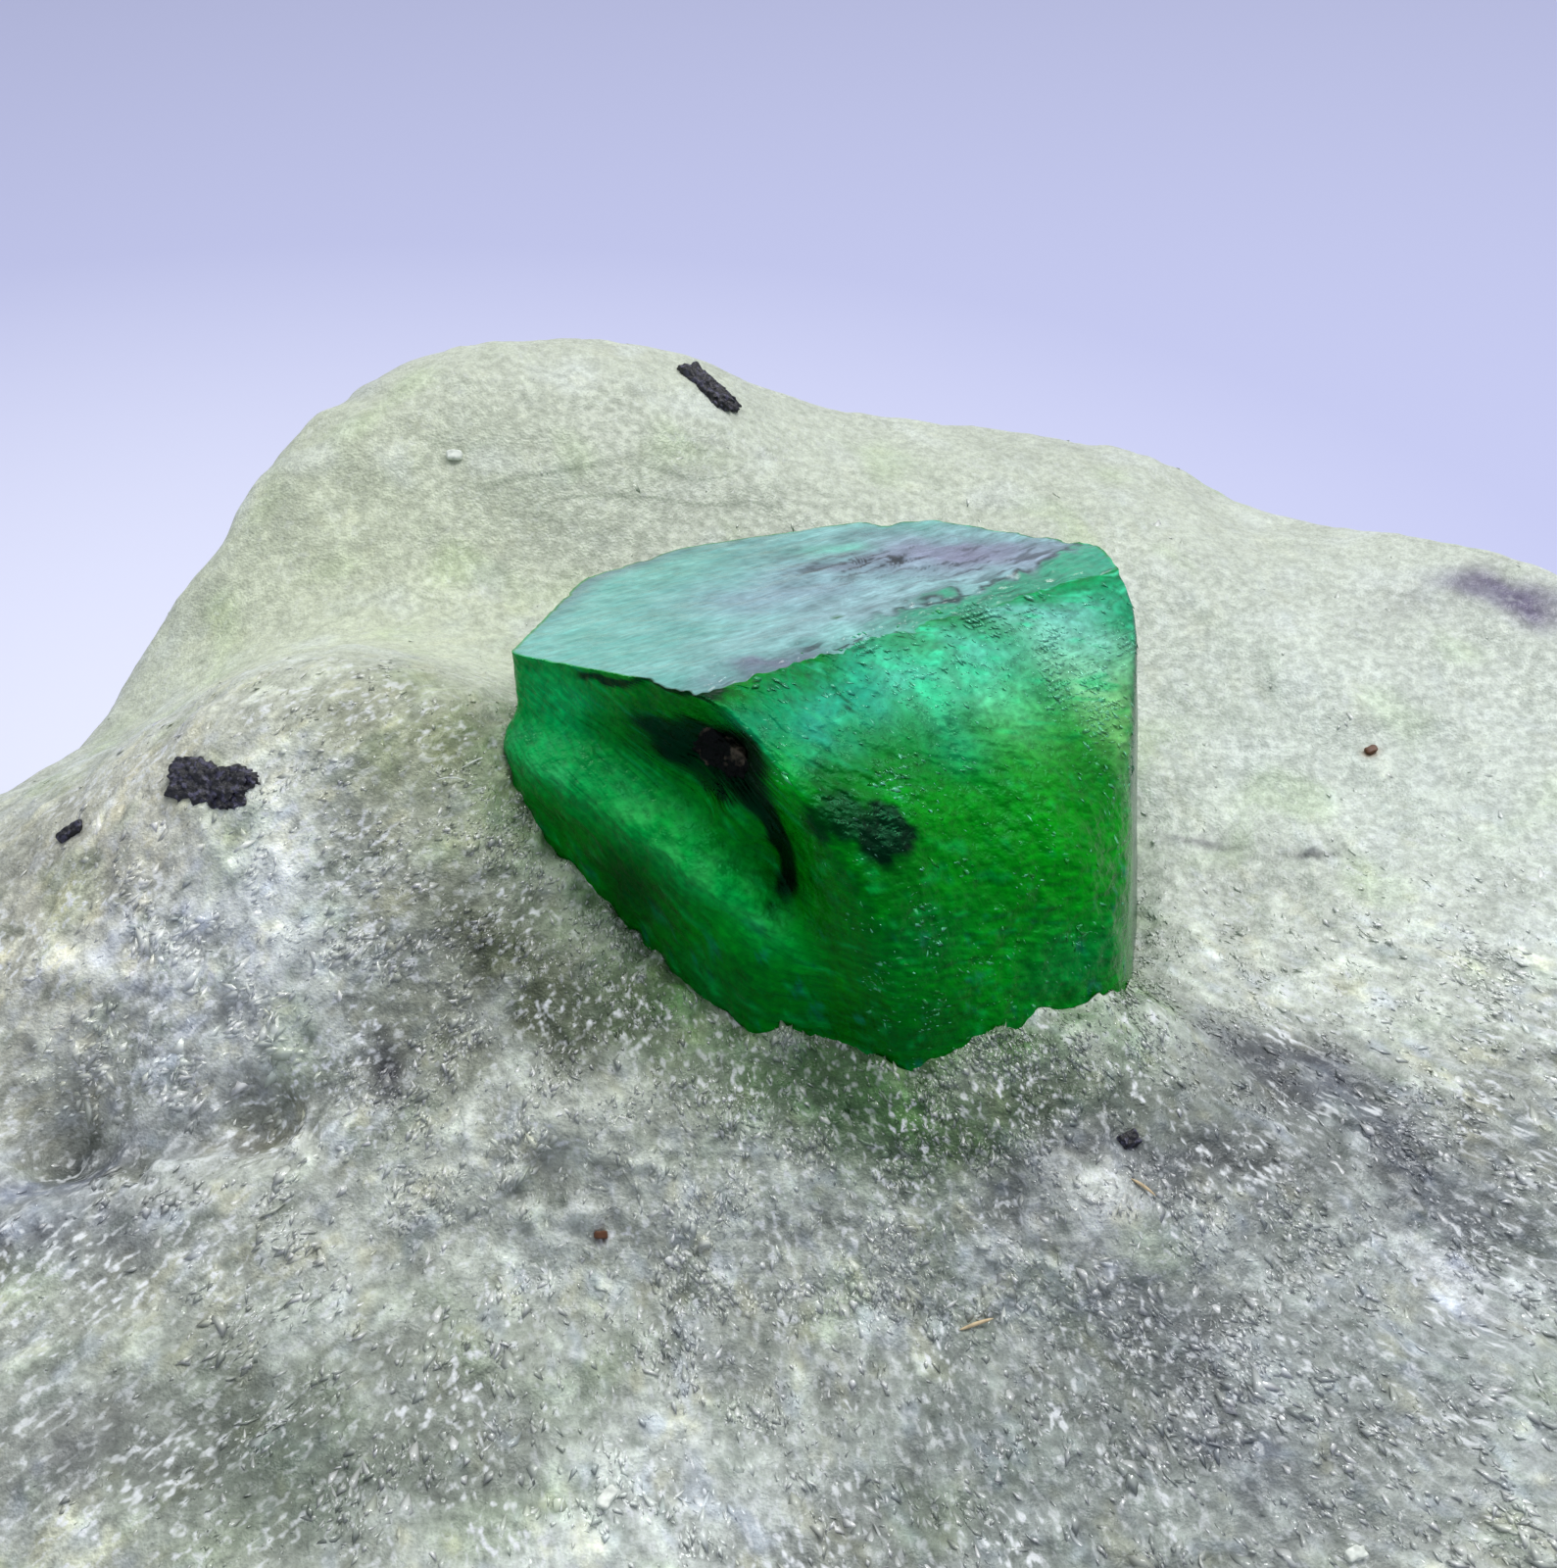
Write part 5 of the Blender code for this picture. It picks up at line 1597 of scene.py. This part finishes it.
GLINT = glint_material()
flake_normals = 0.4 * coarse_normals + 0.6 * grid_normals(rock)
clump_noise = gradient_noise(rock, 1.1, 201) + 0.4 * gradient_noise(rock, 0.4, 202)
clumps = (0.15 + 1.8 * smoothstep(-0.1, 0.6, clump_noise)) * rock_graininess**3
clumps = clumps * (1 + 1.2 * np.exp(-((from_contact / 0.6) ** 2)))
flake_fields = (
    ("flakes_near", slice(1, 70), 10000, 0.13, 0.6),
    ("flakes_middle", slice(70, 130), 8000, 0.16, 0.7),
    ("flakes_outer", slice(130, 200), 6000, 0.22, 0.7),
    ("flakes_far", slice(200, TOP_ROWS + RIM_ROWS), 5000, 0.13, 0.5),
    ("flakes_sides", slice(TOP_ROWS + RIM_ROWS, len(rock) - 3), 6000, 0.18, 0.5),
)
for name, part, count, size, white_share in flake_fields:
    centres, normals, picked = scatter(rock[part], flake_normals[part], clumps[part], count)
    lengths = size * SPREAD.lognormal(0, 0.5, count).clip(0.35, 3.0)
    slimness = SPREAD.uniform(0.2, 0.55, count)
    ground = tint_rock[part].reshape(-1, 3)[picked]
    whiteness = SPREAD.beta(0.7, 1.9, (count, 1))
    tones = ground * 1.15 * (1 - white_share * whiteness) + 0.95 * white_share * whiteness
    mesh = flake_mesh(name, centres, normals, streak_heading(centres, 25), lengths, slimness, tones)
    place(name, mesh, GLINT, "talc_carbonate_rock")

# %% [markdown]
# The broken faces of the crystal have the same kind of glints, but fewer and smaller: chips that
# still hang on the frosted ledge, on the bruised edge at the right and low down by the rock.

# %% Chips on the crystal
CHIP_ZONES = (
    (350.0, 2.0, 6.0, 1.2, 3.0),
    (3.0, 0.8, 9.0, 0.6, 3.0),
    (283.0, 1.75, 4.0, 0.2, 3.0),
    (300.0, 0.5, 30.0, 0.6, 1.2),
    (232.0, 2.9, 22.0, 0.8, 1.6),
    (275.0, 4.6, 50.0, 1.2, 0.5),
    (225.0, 4.0, 18.0, 0.8, 0.7),
)
CHIPS = 3200
chip_chance = 0.14 * rough_front * (depth < contact_depth(direction)) * (depth > 0.06)
for facing, at_depth, half_angle, half_depth, strength in CHIP_ZONES:
    spot = soft_spot(direction, depth, facing, at_depth, half_angle, half_depth)
    chip_chance = chip_chance + strength * spot
chip_chance = chip_chance * (depth < contact_depth(direction) + 0.1) * (break_share > 0.02)
chip_chance = chip_chance * (0.1 + smoothstep(0, 0.5, gradient_noise(smooth_side, 0.7, 211)))
side_points = to_specimen(side)
centres, normals, picked = scatter(side_points, grid_normals(side_points), chip_chance, CHIPS)
lengths = 0.1 * SPREAD.lognormal(0, 0.5, CHIPS).clip(0.4, 3.0)
flow_heading = around_axis(352, 1.0, 0.35) @ CRYSTAL_TURN.T
headings = flow_heading + SPREAD.normal(0, 0.35, (CHIPS, 3))
ground = side_colours.reshape(-1, 3)[picked]
whiteness = SPREAD.beta(0.8, 2.2, (CHIPS, 1))
tones = ground * (1 - whiteness) + srgb(110, 208, 170) * whiteness
slimness = SPREAD.uniform(0.25, 0.5, CHIPS)
mesh = flake_mesh("crystal_chips", centres, normals, headings, lengths, slimness, tones)


def chip_material():
    """Glossy, each chip in one tone of its own."""
    made = Recipe("chips of emerald")
    made.feed(made.attribute("tone")["Color"], "Base Color")
    made.plain(IOR=BERYL_IOR, Roughness=0.15, Specular_Tint=(0.5, 1.0, 0.8))
    return made.material


place("crystal_chips", mesh, chip_material(), "emerald")

# %% [markdown]
# ## Crumbs, splinters and fibres
#
# A few single things lie on the rock: three pale crumbs, two brown specks, two tan splinters and
# two thin pale fibres beside the crystal. Crumbs and specks are ragged grains again, and the
# others are thin rods between two places, bent upwards a little in the middle.

# %% Small single things
CRUMBS = (
    ("crumb_front", (-4.0, -11.6), (0.36, 0.2, 0.14), 60.0, "pale"),
    ("crumb_right", (7.3, -12.0), (0.34, 0.2, 0.14), 20.0, "pale"),
    ("crumb_back", (-8.3, 9.2), (0.3, 0.2, 0.12), 0.0, "pale"),
    ("speck_front", (-4.3, -7.6), (0.2, 0.12, 0.1), 0.0, "brown"),
    ("speck_right", (10.75, 4.6), (0.26, 0.16, 0.1), 20.0, "brown"),
)
RODS = (
    ("splinter_tan", (1.5, -8.6), (2.05, -8.46), 0.035, 0.02, "tan"),
    ("splinter_right", (4.35, -6.95), (4.75, -7.1), 0.03, 0.02, "tan"),
    ("fibre_left", (-7.0, -1.15), (-6.1, -0.4), 0.016, 0.1, "pale"),
    ("fibre_far_left", (-7.4, -1.5), (-6.9, -1.3), 0.014, 0.05, "pale"),
)


def plain_material(name, colour, roughness):
    """One colour, mottled between a darker and a lighter shade of it."""
    made = Recipe(name)
    mottle = made.remap(made.noise(0.1), 0.3, 0.7, 0.0, 1.0)
    made.feed(made.blend(mottle, colour * 0.75, colour * 1.15), "Base Color")
    made.plain(Roughness=roughness, IOR=1.5)
    return made.material


def rod(name, start, end, radius, arch, material):
    """A thin rod from one place on the rock to another, tapering to both ends."""
    share = np.linspace(0.02, 0.98, 14)[:, None]
    x, y = (np.array([start]) * (1 - share) + np.array([end]) * share).T
    height = np.array([rock_top(px, py) for px, py in zip(x, y)]) + 0.06
    line = np.stack([x, y, height + arch * np.sin(share[:, 0] * math.pi)], axis=-1)
    heading = np.array([end[0] - start[0], end[1] - start[1], 0.0])
    heading /= np.linalg.norm(heading)
    across, up = np.cross([0, 0, 1.0], heading), np.array([0, 0, 1.0])
    angle = np.linspace(0, 2 * math.pi, 10, endpoint=False)[None, :, None]
    thick = (radius * np.sqrt(np.sin(share * math.pi)))[:, None]
    points = line[:, None] + thick * (across * np.cos(angle) - up * np.sin(angle))
    mesh = ring_mesh(name, points, grid_normals(points), line[0] - heading * 0.02, line[-1] + heading * 0.02)
    place(name, mesh, material, "talc_carbonate_rock")


# %% Lay them on the rock
kinds = {
    "pale": plain_material("pale crumb", srgb(226, 232, 222), 0.4),
    "brown": plain_material("brown speck", srgb(96, 58, 30), 0.5),
    "tan": plain_material("tan splinter", srgb(214, 192, 152), 0.5),
}
for seed, (name, spot, size, crumb_turn, kind) in enumerate(CRUMBS):
    axes = tangent_axes(*spot, crumb_turn)
    centre = np.array([*spot, rock_top(*spot)]) + axes[2] * size[2] * 0.2
    ragged_grain(name, size, centre, axes, 20 + seed, kinds[kind], "talc_carbonate_rock")
for name, start_at, end_at, radius, arch, kind in RODS:
    rod(name, start_at, end_at, radius, arch, kinds[kind])

# %% [markdown]
# ## Floor and light
#
# The floor is a pale lavender sheet, with a painted pool of window light towards the left. One
# wide soft light hangs overhead, a little behind the specimen and to the right, so the crystal's
# left front falls into shade. Two small lamps, one on each side, make the flakes glint, and a pale
# world fills the shade and gives the flat end something bright to mirror.

# %% Floor


def floor_material():
    """A lavender sheet with a painted pool of window light towards one place on the left."""
    made = Recipe("lavender sheet")
    where = made.nodes.new("ShaderNodeTexCoord")
    mapping = made.nodes.new("ShaderNodeMapping")
    mapping.vector_type = "TEXTURE"
    mapping.inputs["Location"].default_value = (-0.024, 0.034, 0)
    mapping.inputs["Scale"].default_value = (0.062, 0.062, 1)
    # Painted pool of light on the floor.
    painted_light_pool = made.nodes.new("ShaderNodeTexGradient")
    painted_light_pool.gradient_type = "SPHERICAL"
    made.links.new(where.outputs["Object"], mapping.inputs[0])
    made.links.new(mapping.outputs[0], painted_light_pool.inputs[0])
    made.feed(made.blend(painted_light_pool.outputs["Fac"], (0.52, 0.54, 0.77), (0.76, 0.78, 0.92)), "Base Color")
    made.plain(Roughness=0.9, Specular_IOR_Level=0.1)
    return made.material


FLOOR_REACH, FLOOR_HEIGHT = 3.0, -0.00003
floor_mesh = bpy.data.meshes.new("floor")
square = ((-1, -1), (1, -1), (1, 1), (-1, 1))
corners = [(x * FLOOR_REACH, y * FLOOR_REACH, FLOOR_HEIGHT) for x, y in square]
floor_mesh.from_pydata(corners, [], [(0, 1, 2, 3)])
floor_mesh.materials.append(floor_material())
floor = bpy.data.objects.new("floor", floor_mesh)
bpy.context.scene.collection.objects.link(floor)
print("floor reaches", FLOOR_REACH, "m each way")

# %% Lights


def soft_light(name, place_mm, aim_mm, size_mm, power, colour):
    """A square area light that faces a point."""
    lamp = bpy.data.lights.new(name, "AREA")
    lamp.size = size_mm * MM
    lamp.energy = power
    lamp.color = colour
    holder = bpy.data.objects.new(name, lamp)
    bpy.context.scene.collection.objects.link(holder)
    gap = np.array(aim_mm, float) - np.array(place_mm, float)
    holder.location = [c * MM for c in place_mm]
    yaw, pitch = math.atan2(gap[1], gap[0]), math.atan2(math.hypot(gap[0], gap[1]), -gap[2])
    holder.rotation_euler = (pitch, 0, yaw - math.pi / 2)
    holder.visible_camera = False
    print(f"{name}: {power} W, {size_mm} mm wide")


soft_light("overhead", (90, 70, 400), (0, 0, 15), 200, 0.85, (1.0, 0.99, 0.97))
soft_light("sparkle right", (70, 30, 120), (0, -3, 18), 14, 0.03, (1.0, 1.0, 1.0))
soft_light("sparkle left", (-60, 50, 110), (0, -3, 18), 12, 0.02, (1.0, 1.0, 1.0))
sky = bpy.data.worlds.new("pale room")
sky.use_nodes = True
sky.node_tree.nodes["Background"].inputs[0].default_value = (0.80, 0.84, 0.93, 1)
sky.node_tree.nodes["Background"].inputs[1].default_value = 0.55
bpy.context.scene.world = sky
